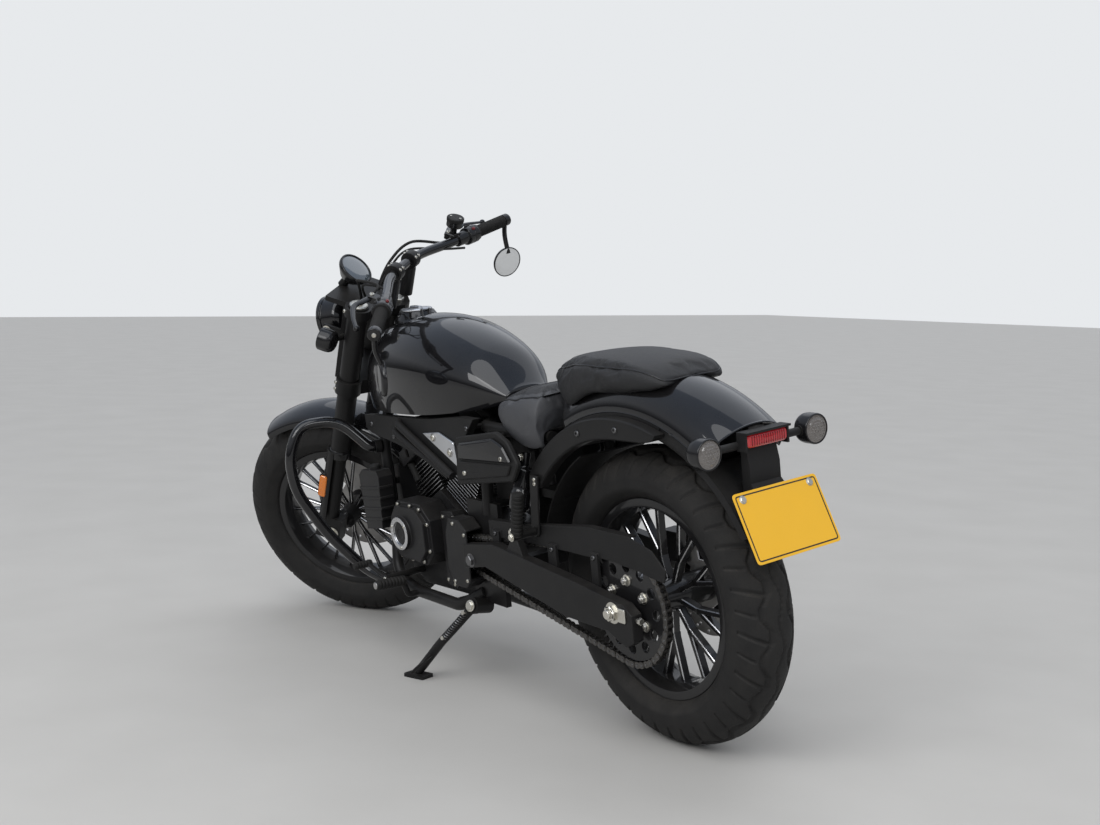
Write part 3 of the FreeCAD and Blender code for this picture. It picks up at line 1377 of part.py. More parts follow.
def make_fork():
    """Two fork legs with guards and axle lugs, and the front axle between them."""
    x = value("fork_leg_x")
    y = value("fork_leg_spread")
    offset = value("fork_offset")
    top = value("fork_top")
    low = value("fork_outer_low")
    legs = []
    for side in (1, -1):
        outer = cylinder((x, side * y, low), (x, side * y, top), size("fork_outer_radius"))
        inner = cylinder((x, side * y, 10), (x, side * y, low + 5), size("fork_inner_radius"))
        lug = block((offset - 22, side * y - 20, -26), (x + 34, side * y + 20, 46))
        guard = cylinder((x + 4, side * (y + 1), 44), (x + 4, side * (y + 1), low + 18), 31)
        keep = block((x + 4, side * y - 40, 40), (x + 60, side * y + 40, low + 20))
        shell = guard.common(keep).cut(cylinder((x + 4, side * (y + 1), 30),
                                                (x + 4, side * (y + 1), low + 30), 28))
        legs += [outer, inner, lug, shell]
    axle = cylinder((offset, -y - 34, 0), (offset, y + 34, 0), size("axle_radius"))
    return feature_of("fork", fused(legs + [axle]))


def make_triple_clamps():
    """Upper and lower fork clamps with the stem in the steering head and stays for lamp and gauge."""
    x = value("fork_leg_x")
    y = value("fork_leg_spread")
    radius = value("fork_outer_radius")
    pieces = []
    for low, height in ((value("lower_clamp_z"), value("lower_clamp_height")),
                        (value("upper_clamp_z"), value("upper_clamp_height"))):
        corners = [(-30, -14), (-30, 14), (x - 12, y + 20), (x + 12, y), (34, 0), (x + 12, -y), (x - 12, -y - 20)]
        web = Part.Face(Part.makePolygon([Vector(dx, dy, low) for dx, dy in corners + corners[:1]]))
        ends = [cylinder((x, side * y, low), (x, side * y, low + height), radius + 8) for side in (1, -1)]
        hub = cylinder((0, 0, low), (0, 0, low + height), 32)
        pieces += [web.extrude(Vector(0, 0, height)), hub] + ends
    stay = block((90, 80, 478), (112, 88, 704))
    arm = block((90, 80, 590), (162, 88, 620))
    cross = block((26, -88, 690), (166, 88, 704))
    foot = block((50, -88, 476), (112, 88, 486))
    post = cylinder((163, 0, 701.5), (148.2, 0, 727.1), 12)
    bracket = [stay, mirrored(stay), arm, mirrored(arm), cross, foot, post]
    holes = [cylinder((x, side * y, 400), (x, side * y, 760), radius + 0.3) for side in (1, -1)]
    stem = cylinder((0, 0, value("lower_clamp_z")), (0, 0, value("upper_clamp_z") + 20),
                    value("steering_stem_radius"))
    return feature_of("triple_clamps", fused([fused(pieces + bracket).cut(holes), stem]))


def make_front_fender():
    """Short arched fender over the front tyre, carried by stays on the fork legs."""
    centre = Vector(value("fork_offset"), 0, 0)
    fender = arched(fender_profile(74, 314, 330, 350, 4), centre, 38, 128)
    stay = block((46, 71, 270), (78, 77.6, 322))
    return feature_of("front_fender", fused([fender, stay, mirrored(stay)]))


def make_headlight():
    """Round headlight shell with its lens rim and a bracket to the clamps."""
    centre = Vector(142, 0, 612)
    forward = Vector(0.892, 0, -0.452)
    shell = Part.makeCylinder(58, 44, centre, forward)
    back = Part.makeCone(34, 58, 26, centre - forward * 26, forward)
    lens = Part.makeCylinder(61, 12, centre + forward * 42, forward)
    bolts = cylinder((152, -79.7, 606), (152, 79.7, 606), 8)
    return feature_of("headlight", fused([shell, back, lens, bolts]))


def make_gauge():
    """Round instrument in a bowl, tilted towards the rider."""
    centre = Vector(150, 0, 724)
    up = Vector(-0.5, 0, 0.866).normalize()
    bowl = Part.makeCone(24, 46, 34, centre + up * 4, up)
    rim = Part.makeCylinder(48, 12, centre + up * 34, up)
    return feature_of("gauge", fused([bowl, rim]))


def bar_points(side):
    """Route of one half of the handlebar from the middle outwards."""
    return [(value("bar_clamp_x"), 0, value("bar_clamp_z")),
            (value("bar_clamp_x"), side * 80, value("bar_clamp_z")),
            (value("bar_bend_x"), side * value("bar_bend_y"), value("bar_bend_z")),
            (value("bar_end_x"), side * value("bar_end_y"), value("bar_end_z"))]


def make_handlebar():
    """Wide pulled-back bar in two risers."""
    right = bar_points(-1)
    left = bar_points(1)
    bar = tube(list(reversed(right))[:-1] + left[1:], size("bar_radius"), 40)
    pieces = [bar]
    for side in (1, -1):
        foot = value("upper_clamp_z") + value("upper_clamp_height") + 0.3
        x = value("bar_clamp_x")
        z = value("bar_clamp_z")
        pieces.append(cylinder((x, side * 48, foot), (x, side * 48, z), 17))
        pieces.append(cylinder((x, side * 48 - 14, z), (x, side * 48 + 14, z), 23))
    return feature_of("handlebar", fused(pieces))


def grip_line(side):
    """Start and end of one grip."""
    points = [Vector(*point) for point in bar_points(side)]
    along = (points[3] - points[2]).normalize()
    return points[3] - along * value("grip_length"), points[3], along


def make_grips():
    """Rubber grips that slide over the ends of the bar."""
    pieces = []
    for side in (1, -1):
        start, end, along = grip_line(side)
        sleeve = cylinder(start, end + along * 0.3, size("grip_radius"))
        flange = cylinder(start, start + along * 5, 22)
        bore = cylinder(start - along * 10, end + along * 10, value("bar_radius") + 0.1)
        pieces.append(fused([sleeve, flange]).cut(bore))
    return feature_of("grips", Part.makeCompound(pieces))


def make_switchgear():
    """Switch housings with lever perches, the right one with its fluid reservoir."""
    pieces = []
    for side in (1, -1):
        start, end, along = grip_line(side)
        middle = start - along * 62
        housing = cylinder(start - along * 0.3, start - along * 40, 24)
        neck = cylinder(start - along * 38, start - along * 76, 18)
        bore = cylinder(end, start - along * 110, value("bar_radius") + 0.1)
        perch = block((middle.x + 8, middle.y - 13, middle.z - 11), (middle.x + 44, middle.y + 13, middle.z + 11))
        lever = tube([middle + Vector(38, 0, 0), middle + Vector(52, side * 60, -4),
                      end + Vector(54, side * -14, -16)], 6, 30)
        parts = [housing, neck, perch, lever]
        if side < 0:
            parts.append(cylinder(middle + Vector(22, 0, 8), middle + Vector(22, 0, 34), 9))
            parts.append(cylinder(middle + Vector(22, 0, 30), middle + Vector(22, 0, 58), 23))
        pieces.append(fused(parts).cut(bore))
    return feature_of("switchgear", Part.makeCompound(pieces))


def make_mirrors():
    """Round mirrors on arms that hang from the ends of the bar, turned in towards the rider."""
    pieces = []
    for side in (1, -1):
        start, end, along = grip_line(side)
        clamp = cylinder(end + along * 0.6, end + along * 20, 17)
        glass = Vector(-156, side * 402, 722)
        facing = Vector(-0.8, side * -0.58, 0.12).normalize()
        arm = tube([end + along * 10, end + along * 10 + Vector(-6, 0, -44), glass - facing * 4 + Vector(0, 0, 26)], 7, 14)
        shell = Part.makeCylinder(44, 13, glass - facing * 13, facing)
        pieces.append(fused([clamp, arm, shell]))
    return feature_of("mirrors", Part.makeCompound(pieces))


def make_front_caliper():
    """Brake calliper on the right fork leg, over the front disc."""
    plane = value("front_disc_y")
    grip = block((-86, plane - 20, 62), (-10, plane + 18, 140))
    slot = cylinder((value("fork_offset"), plane - 5.5, 0), (value("fork_offset"), plane + 5.5, 0),
                    value("front_disc_radius") + 5)
    arm = block((-60, -98, 70), (41, -84, 110))
    return feature_of("front_caliper", fused([grip, arm]).cut(slot))


SOLIDS = {}


def place(item, placement):
    """Set where a sub-part stands and keep it for export."""
    item.Placement = placement
    SOLIDS[item.Label] = item


REAR_HUB = STANDING.multiply(Placement(rear_axle, Rotation()))
FRONT_HUB = STEERED.multiply(Placement(Vector(value("fork_offset"), 0, 0), Rotation()))


def rolled(alias):
    """A turn of a wheel about its axle."""
    return Placement(Vector(0, 0, 0), Rotation(Vector(0, 1, 0), value(alias)))


def build_all():
    for item in (make_frame(), make_swingarm(), make_engine(), make_cylinders(), make_engine_covers(),
                 feature_of("chain", make_chain()),
                 make_exhaust(), make_shocks(), make_radiator(), make_fuel_tank(),
                 make_fuel_cap(), make_panels(), make_alu_plates(), make_side_covers(), make_solo_seat(),
                 make_pillion_seat(), make_rear_fender(), make_fender_struts(), make_tail_light(),
                 make_tail_bracket(), make_chain_guard(), make_inner_mudguard(), make_footrests(), make_foot_controls(),
                 make_engine_guard(), make_rear_caliper(), make_side_stand(),
                 make_indicators("rear_indicators", (-292, 108.2, 682), (-292, 141, 682), True, 44)):
        place(item, STANDING)
    place(make_number_plate(), STANDING.multiply(plate_placement()))
    for item in (make_tyre("rear_tyre", "rear"), make_rear_sprocket(), make_disc("rear_disc", "rear", 22)):
        place(item, REAR_HUB)
    place(make_rear_wheel(), REAR_HUB.multiply(rolled("rear_spoke_turn")))
    for item in (make_tyre("front_tyre", "front"), make_disc("front_disc", "front", 24)):
        place(item, FRONT_HUB)
    place(make_front_wheel(), FRONT_HUB.multiply(rolled("front_spoke_turn")))
    for item in (make_fork(), make_triple_clamps(), make_front_fender(), make_headlight(),
                 make_gauge(), make_handlebar(), make_grips(), make_switchgear(), make_mirrors(),
                 make_front_caliper(),
                 make_indicators("front_indicators", (101, 88.4, 606), (118, 150, 614), False, 44)):
        place(item, STEERED)


def check_and_export():
    """Stop on any failed object, then write each sub-part's shape."""
    doc.recompute()
    for item in doc.Objects:
        if "Invalid" in item.State or "Error" in item.State:
            raise RuntimeError(f"{item.Name} failed: {item.State}")
    os.makedirs("parts", exist_ok=True)
    for label, item in SOLIDS.items():
        if item.Shape.isNull() or not item.Shape.isValid():
            raise RuntimeError(f"{label} has no valid shape")
        item.Shape.exportStep(os.path.join("parts", label + ".step"))
        box = item.Shape.BoundBox
        print(f"{label}: {len(item.Shape.Solids)} solids, {item.Shape.Volume / 1000:.1f} cm3, "
              f"x {box.XMin:.1f}..{box.XMax:.1f} y {box.YMin:.1f}..{box.YMax:.1f} z {box.ZMin:.1f}..{box.ZMax:.1f}")


build_all()
check_and_export()
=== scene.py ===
import math

import bmesh
import bpy
import numpy as np
from mathutils import Matrix
from mathutils.bvhtree import BVHTree
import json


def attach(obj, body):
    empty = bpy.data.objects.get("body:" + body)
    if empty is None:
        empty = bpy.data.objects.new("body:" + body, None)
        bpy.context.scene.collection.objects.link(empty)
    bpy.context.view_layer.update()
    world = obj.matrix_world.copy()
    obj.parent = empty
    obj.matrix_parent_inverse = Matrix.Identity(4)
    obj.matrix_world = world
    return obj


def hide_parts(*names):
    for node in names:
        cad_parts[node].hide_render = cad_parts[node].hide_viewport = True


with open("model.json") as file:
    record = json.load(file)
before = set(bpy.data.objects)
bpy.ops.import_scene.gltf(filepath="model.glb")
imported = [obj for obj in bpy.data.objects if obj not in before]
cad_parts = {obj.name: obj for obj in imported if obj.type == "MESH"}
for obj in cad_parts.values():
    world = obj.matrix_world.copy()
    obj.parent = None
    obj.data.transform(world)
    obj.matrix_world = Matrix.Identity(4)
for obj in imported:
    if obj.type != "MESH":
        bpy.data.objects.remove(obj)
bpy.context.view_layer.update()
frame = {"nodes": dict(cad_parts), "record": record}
scene = bpy.context.scene

# Placements of the bike on the floor and of the turned fork, in the row frame, with shifts in metres.
# The bike frame has X forward, Y left and Z up with its origin under the rear axle.
# The fork frame has Z along the steering axis and its origin beside the front axle.
BIKE = np.array([[0.999983, 0.0, 0.00583105, -0.648],
                 [-0.000742939, 0.99185, 0.127409, -0.037],
                 [-0.00578353, -0.127411, 0.991833, 0.000107543]])
FORK = np.array([[0.732666, -0.513019, -0.447227, 0.72413],
                 [0.615578, 0.779793, 0.113959, 0.00019325],
                 [0.290281, -0.358797, 0.887131, 0.289644]])
REAR_AXLE = (0.0, 0.0, 323.0)
FRONT_AXLE = (44.4, 0.0, 0.0)

# Directions of the bike frame and the fork frame
AHEAD = (1, 0, 0)
LEFT = (0, 1, 0)
UP = (0, 0, 1)

BODY_OF = {}
for body, members in frame["record"]["behaviour"]["bodies"].items():
    for member in members:
        BODY_OF[member] = body


def in_scene(name, data):
    """A new object of the scene that holds some data."""
    item = bpy.data.objects.new(name, data)
    scene.collection.objects.link(item)
    return item


def floats(values):
    """Numbers as an array of floats."""
    return np.asarray(values, dtype=float)


# Shader nodes


def wired(tree, kind, **values):
    """A node of a tree, its inputs linked to sockets or set to values; an underscore stands for a space."""
    node = tree.nodes.new("ShaderNode" + kind)
    for label, value in values.items():
        socket = node.inputs[label.replace("_", " ")]
        if isinstance(value, bpy.types.NodeSocket):
            tree.links.new(value, socket)
        else:
            socket.default_value = value
    return node


def math_node(tree, operation, first, second):
    """A maths node of a tree whose inputs are sockets or numbers."""
    node = tree.nodes.new("ShaderNodeMath")
    node.operation = operation
    for index, item in enumerate((first, second)):
        if isinstance(item, (int, float)):
            node.inputs[index].default_value = item
        else:
            tree.links.new(item, node.inputs[index])
    return node.outputs["Value"]


def blend_colours(tree, share, first, second):
    """A colour mix of a tree: share 0 gives the first and 1 the second."""
    node = tree.nodes.new("ShaderNodeMix")
    node.data_type = "RGBA"
    for index, item in ((0, share), (6, first), (7, second)):
        if isinstance(item, (int, float, tuple)):
            node.inputs[index].default_value = item
        else:
            tree.links.new(item, node.inputs[index])
    return node.outputs[2]


def object_noise(tree, scale, detail, stretch=None):
    """Noise on Object coordinates; stretch makes it long along an axis."""
    place = wired(tree, "TexCoord").outputs["Object"]
    if stretch is not None:
        place = wired(tree, "Mapping", Vector=place, Scale=stretch).outputs["Vector"]
    return wired(tree, "TexNoise", Vector=place, Scale=scale, Detail=detail).outputs["Fac"]


# Camera, floor and lights


def place_camera():
    """Pinhole camera at the photograph's place: a forward ray from yaw and pitch, with a small roll."""
    yaw, pitch, roll = (math.radians(angle) for angle in (-35.67, -5.26, 0.83))
    forward = np.array([math.cos(pitch) * math.cos(yaw), math.cos(pitch) * math.sin(yaw), math.sin(pitch)])
    right = np.cross(forward, [0, 0, 1])
    right /= np.linalg.norm(right)
    up = np.cross(right, forward)
    matrix = np.eye(4)
    matrix[:3, 0] = math.cos(roll) * right + math.sin(roll) * up
    matrix[:3, 1] = np.cross(matrix[:3, 0], forward)
    matrix[:3, 2] = -forward
    matrix[:3, 3] = (-2.9156, 1.9629, 0.9775)
    data = bpy.data.cameras.new("photo_camera")
    data.sensor_width = 36
    data.lens = 36 * 1430.1 / 1100
    data.clip_end = 90
    camera = in_scene("photo_camera", data)
    camera.matrix_world = Matrix(matrix.tolist())
    scene.camera = camera


def pale_floor():
    """A flat square far wider than the bike, in a pale warm grey with a slow change of tone."""
    mesh = bpy.data.meshes.new("studio_floor")
    reach = 30.0
    mesh.from_pydata([(-reach, -reach, 0), (reach, -reach, 0), (reach, reach, 0), (-reach, reach, 0)], [],
                     [(0, 1, 2, 3)])
    floor = in_scene("studio_floor", mesh)
    material = bpy.data.materials.new("floor_paint")
    material.use_nodes = True
    tree = material.node_tree
    shader = tree.nodes["Principled BSDF"]
    shader.inputs["Roughness"].default_value = 0.7
    tone = blend_colours(tree, object_noise(tree, 3.0, 8.0), (0.5, 0.49, 0.47, 1), (0.58, 0.57, 0.55, 1))
    tree.links.new(tone, shader.inputs["Base Color"])
    mesh.materials.append(material)


def aimed(back):
    """Axes of a lamp whose -Z faces away from a direction."""
    back = floats(back) / np.linalg.norm(back)
    side = np.cross([0, 0, 1], back)
    side /= np.linalg.norm(side)
    matrix = np.eye(4)
    matrix[:3, 0] = side
    matrix[:3, 1] = np.cross(back, side)
    matrix[:3, 2] = back
    return matrix


def soft_light(name, place, aim, width, height, power):
    """One rectangular area lamp, turned so that it faces a point."""
    data = bpy.data.lights.new(name, "AREA")
    data.shape = "RECTANGLE"
    data.size = width
    data.size_y = height
    data.energy = power
    lamp = in_scene(name, data)
    matrix = aimed(floats(place) - floats(aim))
    matrix[:3, 3] = place
    lamp.matrix_world = Matrix(matrix.tolist())


def even_light(name, back, strength, spread):
    """A broad far lamp that lights the whole floor alike."""
    data = bpy.data.lights.new(name, "SUN")
    data.energy = strength
    data.angle = math.radians(spread)
    lamp = in_scene(name, data)
    lamp.matrix_world = Matrix(aimed(back).tolist())


def pale_world():
    """Grey sky light; the camera sees a pale backdrop, and gloss a sky that is darker towards the ground."""
    world = bpy.data.worlds.new("studio_air")
    scene.world = world
    world.use_nodes = True
    tree = world.node_tree
    light = tree.nodes["Background"]
    light.inputs["Color"].default_value = (0.92, 0.95, 1.0, 1)
    light.inputs["Strength"].default_value = 0.5
    shown = wired(tree, "Background", Color=(0.8, 0.82, 0.84, 1), Strength=1.0)
    parts = wired(tree, "SeparateXYZ", Vector=wired(tree, "TexCoord").outputs["Generated"])
    ramp = wired(tree, "ValToRGB", Fac=parts.outputs["Z"])
    stops = ramp.color_ramp.elements
    stops[0].position, stops[0].color = 0.02, (0.05, 0.052, 0.055, 1)
    stops[1].position, stops[1].color = 0.95, (0.36, 0.44, 0.58, 1)
    stops.new(0.22).color = (0.5, 0.52, 0.56, 1)
    gloss = wired(tree, "Background", Color=ramp.outputs["Color"], Strength=1.0)
    path = wired(tree, "LightPath")
    seen = light.outputs["Background"]
    for ray, sky in (("Is Glossy Ray", gloss), ("Is Camera Ray", shown)):
        mix = wired(tree, "MixShader", Fac=path.outputs[ray])
        tree.links.new(seen, mix.inputs[1])
        tree.links.new(sky.outputs["Background"], mix.inputs[2])
        seen = mix.outputs["Shader"]
    tree.links.new(seen, tree.nodes["World Output"].inputs["Surface"])


place_camera()
pale_floor()
pale_world()
even_light("sky_from_left", (-0.55, 0.75, 1.2), 1.0, 50)
even_light("sky_from_right", (0.6, -0.8, 1.4), 0.45, 60)
soft_light("left_panel", (-1.2, 4.4, 3.0), (0.0, 0.1, 0.5), 3.0, 1.6, 60)
soft_light("rear_panel", (-4.6, 0.8, 2.4), (-0.4, 0.0, 0.6), 2.0, 1.4, 30)


# Shader node groups: each puts out colours, values or heights


def new_group(name, inputs, outputs):
    """An empty shader group with named sockets: (name, kind, default) and (name, kind)."""
    group = bpy.data.node_groups.new(name, "ShaderNodeTree")
    for label, kind, default in inputs:
        socket = group.interface.new_socket(label, in_out="INPUT", socket_type=kind)
        socket.default_value = default
    for label, kind in outputs:
        group.interface.new_socket(label, in_out="OUTPUT", socket_type=kind)
    return group, group.nodes.new("NodeGroupInput"), group.nodes.new("NodeGroupOutput")


def make_grain_group():
    """Fine grain: a noise height, and a tone that wanders slowly about one."""
    group, given, out = new_group(
        "fine_grain",
        [("Grain Scale", "NodeSocketFloat", 900.0), ("Tone Scale", "NodeSocketFloat", 7.0),
         ("Tone Range", "NodeSocketFloat", 0.3)],
        [("Height", "NodeSocketFloat"), ("Tone", "NodeSocketFloat")])
    height = object_noise(group, given.outputs["Grain Scale"], 3.0)
    slow = object_noise(group, given.outputs["Tone Scale"], 5.0)
    swing = math_node(group, "MULTIPLY", math_node(group, "SUBTRACT", slow, 0.5),
                      given.outputs["Tone Range"])
    group.links.new(height, out.inputs["Height"])
    group.links.new(math_node(group, "ADD", swing, 1.0), out.inputs["Tone"])
    return group


DUST_COLOUR = (0.34, 0.31, 0.27, 1)


def make_dust_group():
    """Dust: thicker on surfaces that face up and in a noise's hollows; gives a colour and a roughness."""
    group, given, out = new_group("settled_dust",
                                  [("Colour", "NodeSocketColor", (0.05, 0.05, 0.05, 1)),
                                   ("Dust Colour", "NodeSocketColor", DUST_COLOUR),
                                   ("Roughness", "NodeSocketFloat", 0.3),
                                   ("Amount", "NodeSocketFloat", 0.25)],
                                  [("Colour", "NodeSocketColor"), ("Roughness", "NodeSocketFloat")])
    parts = wired(group, "SeparateXYZ", Vector=wired(group, "NewGeometry").outputs["Normal"])
    facing = math_node(group, "MAXIMUM", math_node(group, "MULTIPLY", parts.outputs["Z"], 0.8), 0.0)
    cloud = object_noise(group, 26.0, 8.0)
    speck = object_noise(group, 420.0, 2.0)
    thick = math_node(group, "MULTIPLY", math_node(group, "ADD", facing, 0.25), cloud)
    thick = math_node(group, "MULTIPLY", thick, math_node(group, "ADD", speck, 0.4))
    share = wired(group, "Clamp", Value=math_node(group, "MULTIPLY", thick, given.outputs["Amount"]))
    colour = blend_colours(group, share.outputs["Result"], given.outputs["Colour"],
                           given.outputs["Dust Colour"])
    rough = math_node(group, "ADD", given.outputs["Roughness"],
                      math_node(group, "MULTIPLY", share.outputs["Result"], 0.6))
    group.links.new(colour, out.inputs["Colour"])
    group.links.new(rough, out.inputs["Roughness"])
    return group


def make_brushed_group():
    """Brushed lines: noise stretched along X, as a height and a streak value."""
    group, given, out = new_group("brushed_lines", [("Scale", "NodeSocketFloat", 60.0)],
                                  [("Height", "NodeSocketFloat"), ("Streak", "NodeSocketFloat")])
    streak = object_noise(group, given.outputs["Scale"], 6.0, (0.6, 16.0, 16.0))
    group.links.new(streak, out.inputs["Height"])
    group.links.new(streak, out.inputs["Streak"])
    return group


def make_leather_and_shade_group():
    """Pressed grain: the cell borders of a Voronoi pattern, softened by a noise, as a height, and as a
    painted shade output that darkens the colour in the sunken borders between cells.
    """
    group, given, out = new_group("pressed_grain_and_crease_shade", [("Scale", "NodeSocketFloat", 700.0)],
                                  [("Height", "NodeSocketFloat"), ("Shade", "NodeSocketFloat")])
    cells = wired(group, "TexVoronoi", Vector=wired(group, "TexCoord").outputs["Object"],
                  Scale=given.outputs["Scale"])
    cells.feature = "DISTANCE_TO_EDGE"
    ridge = math_node(group, "MINIMUM", math_node(group, "MULTIPLY", cells.outputs["Distance"], 5.0), 1.0)
    fine = math_node(group, "MULTIPLY", object_noise(group, 2400.0, 2.0), 0.4)
    group.links.new(math_node(group, "ADD", ridge, fine), out.inputs["Height"])
    # Painted shade: the colour falls to 0.75 in the sunken cell borders and rises to 1.1 in the cell middles.
    group.links.new(math_node(group, "ADD", math_node(group, "MULTIPLY", ridge, 0.35), 0.75),
                    out.inputs["Shade"])
    return group


GRAIN = make_grain_group()
DUST = make_dust_group()
BRUSHED = make_brushed_group()
LEATHER_AND_CREASE_SHADE = make_leather_and_shade_group()


def add_group(tree, group, **values):
    """Place a node group in a material and set its named inputs."""
    node = tree.nodes.new("ShaderNodeGroup")
    node.node_tree = group
    for label, amount in values.items():
        node.inputs[label.replace("_", " ")].default_value = amount
    return node


def surface(name, colour, roughness, metallic=0.0, grain=900.0, bump=0.02, tone=0.3, dust=0.2, coat=0.0,
            coat_roughness=0.04, relief="grain", ior=1.5, depth=0.001, gleam=0.5):
    """A finish: toned colour under dust, with grain, brushed lines or pressed leather cells as a bump;
    leather cells also carry a painted shade in their sunken borders.
    """
    material = bpy.data.materials.new(name)
    material.use_nodes = True
    tree = material.node_tree
    shader = tree.nodes["Principled BSDF"]
    shader.inputs["Metallic"].default_value = metallic
    shader.inputs["Coat Weight"].default_value = coat
    shader.inputs["Coat Roughness"].default_value = coat_roughness
    shader.inputs["Coat IOR"].default_value = ior
    shader.inputs["Specular IOR Level"].default_value = gleam
    fine = add_group(tree, GRAIN, Grain_Scale=grain, Tone_Scale=9.0, Tone_Range=tone)
    toned = tree.nodes.new("ShaderNodeVectorMath")
    toned.operation = "SCALE"
    toned.inputs[0].default_value = colour
    dusty = add_group(tree, DUST, Roughness=roughness, Amount=dust, Dust_Colour=DUST_COLOUR)
    tree.links.new(toned.outputs["Vector"], dusty.inputs["Colour"])
    tree.links.new(dusty.outputs["Colour"], shader.inputs["Base Color"])
    tree.links.new(dusty.outputs["Roughness"], shader.inputs["Roughness"])
    height = fine.outputs["Height"]
    shade = fine.outputs["Tone"]
    if relief == "brushed":
        lines = add_group(tree, BRUSHED, Scale=60.0)
        height = lines.outputs["Height"]
    if relief == "leather":
        cells = add_group(tree, LEATHER_AND_CREASE_SHADE, Scale=grain)
        height = cells.outputs["Height"]
        # The tone is multiplied by painted shade that darkens the sunken borders of the leather cells.
        shade = math_node(tree, "MULTIPLY", shade, cells.outputs["Shade"])
    tree.links.new(shade, toned.inputs["Scale"])
    bumps = wired(tree, "Bump", Strength=bump, Distance=depth, Height=height)
    tree.links.new(bumps.outputs["Normal"], shader.inputs["Normal"])
    return material


def lens_material(name, colour, roughness, clearness):
    """Tinted clear plastic: transmission with the lens colour, over a slow change of tone."""
    material = surface(name, colour, roughness, bump=0.01, tone=0.1, dust=0.05)
    material.node_tree.nodes["Principled BSDF"].inputs["Transmission Weight"].default_value = clearness
    return material


FINISH = {
    "gloss_paint": surface("gloss_black_paint", (0.004, 0.004, 0.005), 0.3, coat=1.0, bump=0.006, dust=0.03,
                           coat_roughness=0.02, gleam=0.08),
    "frame_paint": surface("satin_frame_paint", (0.009, 0.009, 0.0095), 0.38, bump=0.05, dust=0.08,
                           gleam=0.2),
    "engine_paint": surface("engine_enamel", (0.011, 0.011, 0.012), 0.38, bump=0.14, grain=1500, dust=0.1,
                            gleam=0.2),
    "wheel_paint": surface("wheel_enamel", (0.008, 0.008, 0.009), 0.33, coat=0.5, bump=0.03, dust=0.08,
                           gleam=0.2),
    "matt_plastic": surface("grained_plastic", (0.011, 0.011, 0.0115), 0.5, bump=0.3, grain=2600, dust=0.08,
                            gleam=0.2),
    "gloss_plastic": surface("gloss_plastic", (0.007, 0.007, 0.008), 0.18, dust=0.04, gleam=0.45),
    "vinyl": surface("seat_vinyl", (0.016, 0.0165, 0.018), 0.44, bump=0.35, grain=750, dust=0.08, gleam=0.3,
                     relief="leather", depth=0.0006),
    "side_vinyl": surface("smooth_side_vinyl", (0.05, 0.052, 0.058), 0.42, bump=0.25, dust=0.1,
                          relief="leather", depth=0.0005),
    "thread": surface("seam_thread", (0.05, 0.05, 0.052), 0.6, bump=0.4, grain=2500, dust=0.1),
    "rubber": surface("black_rubber", (0.01, 0.01, 0.01), 0.6, bump=0.3, grain=1800, dust=0.1, gleam=0.2),
    "tyre": surface("tyre_rubber", (0.012, 0.012, 0.0125), 0.64, bump=0.35, grain=1500, gleam=0.2),
    "steel": surface("plain_steel", (0.46, 0.45, 0.44), 0.34, metallic=1.0, bump=0.05, dust=0.3),
    "dark_steel": surface("dark_steel", (0.16, 0.16, 0.165), 0.36, metallic=1.0, bump=0.06),
    "chrome": surface("bright_chrome", (0.78, 0.79, 0.81), 0.08, metallic=1.0, bump=0.01, dust=0.05),
    "zinc": surface("zinc_plated_steel", (0.66, 0.64, 0.58), 0.33, metallic=1.0, bump=0.06),
    # Machined metal on real parts; on the spoke chamfers the same bright finish is a painted highlight.
    "machined": surface("machined_metal_and_spoke_highlight", (0.62, 0.62, 0.63), 0.26, metallic=1.0, bump=0.08, dust=0.1,
                        relief="brushed"),
    "chain": surface("oiled_chain_steel", (0.12, 0.115, 0.11), 0.38, metallic=1.0, bump=0.08, dust=0.35),
    "aluminium": surface("brushed_aluminium", (0.62, 0.63, 0.65), 0.32, metallic=1.0, bump=0.12,
                         relief="brushed", dust=0.1),
    "plate_paint": surface("yellow_plate_paint", (0.86, 0.47, 0.012), 0.42, bump=0.05, dust=0.05, tone=0.08,
                           coat=0.3),
    "plate_line": surface("plate_border_paint", (0.012, 0.012, 0.012), 0.45, bump=0.05, dust=0.05),
    "red_lens": surface("red_lens", (0.42, 0.008, 0.014), 0.12, coat=1.0, dust=0.04),
    "dark_red": surface("dark_red_rib", (0.13, 0.002, 0.004), 0.2, dust=0.04),
    "amber": surface("amber_lens", (0.75, 0.2, 0.012), 0.16, bump=0.03, coat=0.8, dust=0.04),
    "smoked_lens": surface("smoked_lens", (0.13, 0.118, 0.11), 0.1, coat=1.0, dust=0.05),
    "clear_lens": lens_material("clear_lens", (0.86, 0.89, 0.92), 0.04, 0.55),
    "mirror_glass": surface("mirror_glass", (0.86, 0.88, 0.9), 0.015, metallic=1.0, bump=0.0, tone=0.03,
                            dust=0.02),
    "dial_glass": surface("dial_glass", (0.06, 0.075, 0.09), 0.05, bump=0.0, coat=1.0, dust=0.03, ior=1.9),
    "dial_marks": surface("dial_marks", (0.7, 0.72, 0.74), 0.5, dust=0.02),
}


# Shapes: arrays of millimetre points with their faces, in the bike frame or the fork frame


def on_bike(points):
    """Rows of millimetre points of the bike frame, turned and shifted into row metres."""
    return floats(points) / 1000 @ BIKE[:, :3].T + BIKE[:, 3]


def on_fork(points):
    """Rows of millimetre points of the fork frame, turned and shifted into row metres."""
    return floats(points) / 1000 @ FORK[:, :3].T + FORK[:, 3]


def unit(vector):
    """A vector divided by its length."""
    vector = floats(vector)
    return vector / np.linalg.norm(vector, axis=-1, keepdims=True)


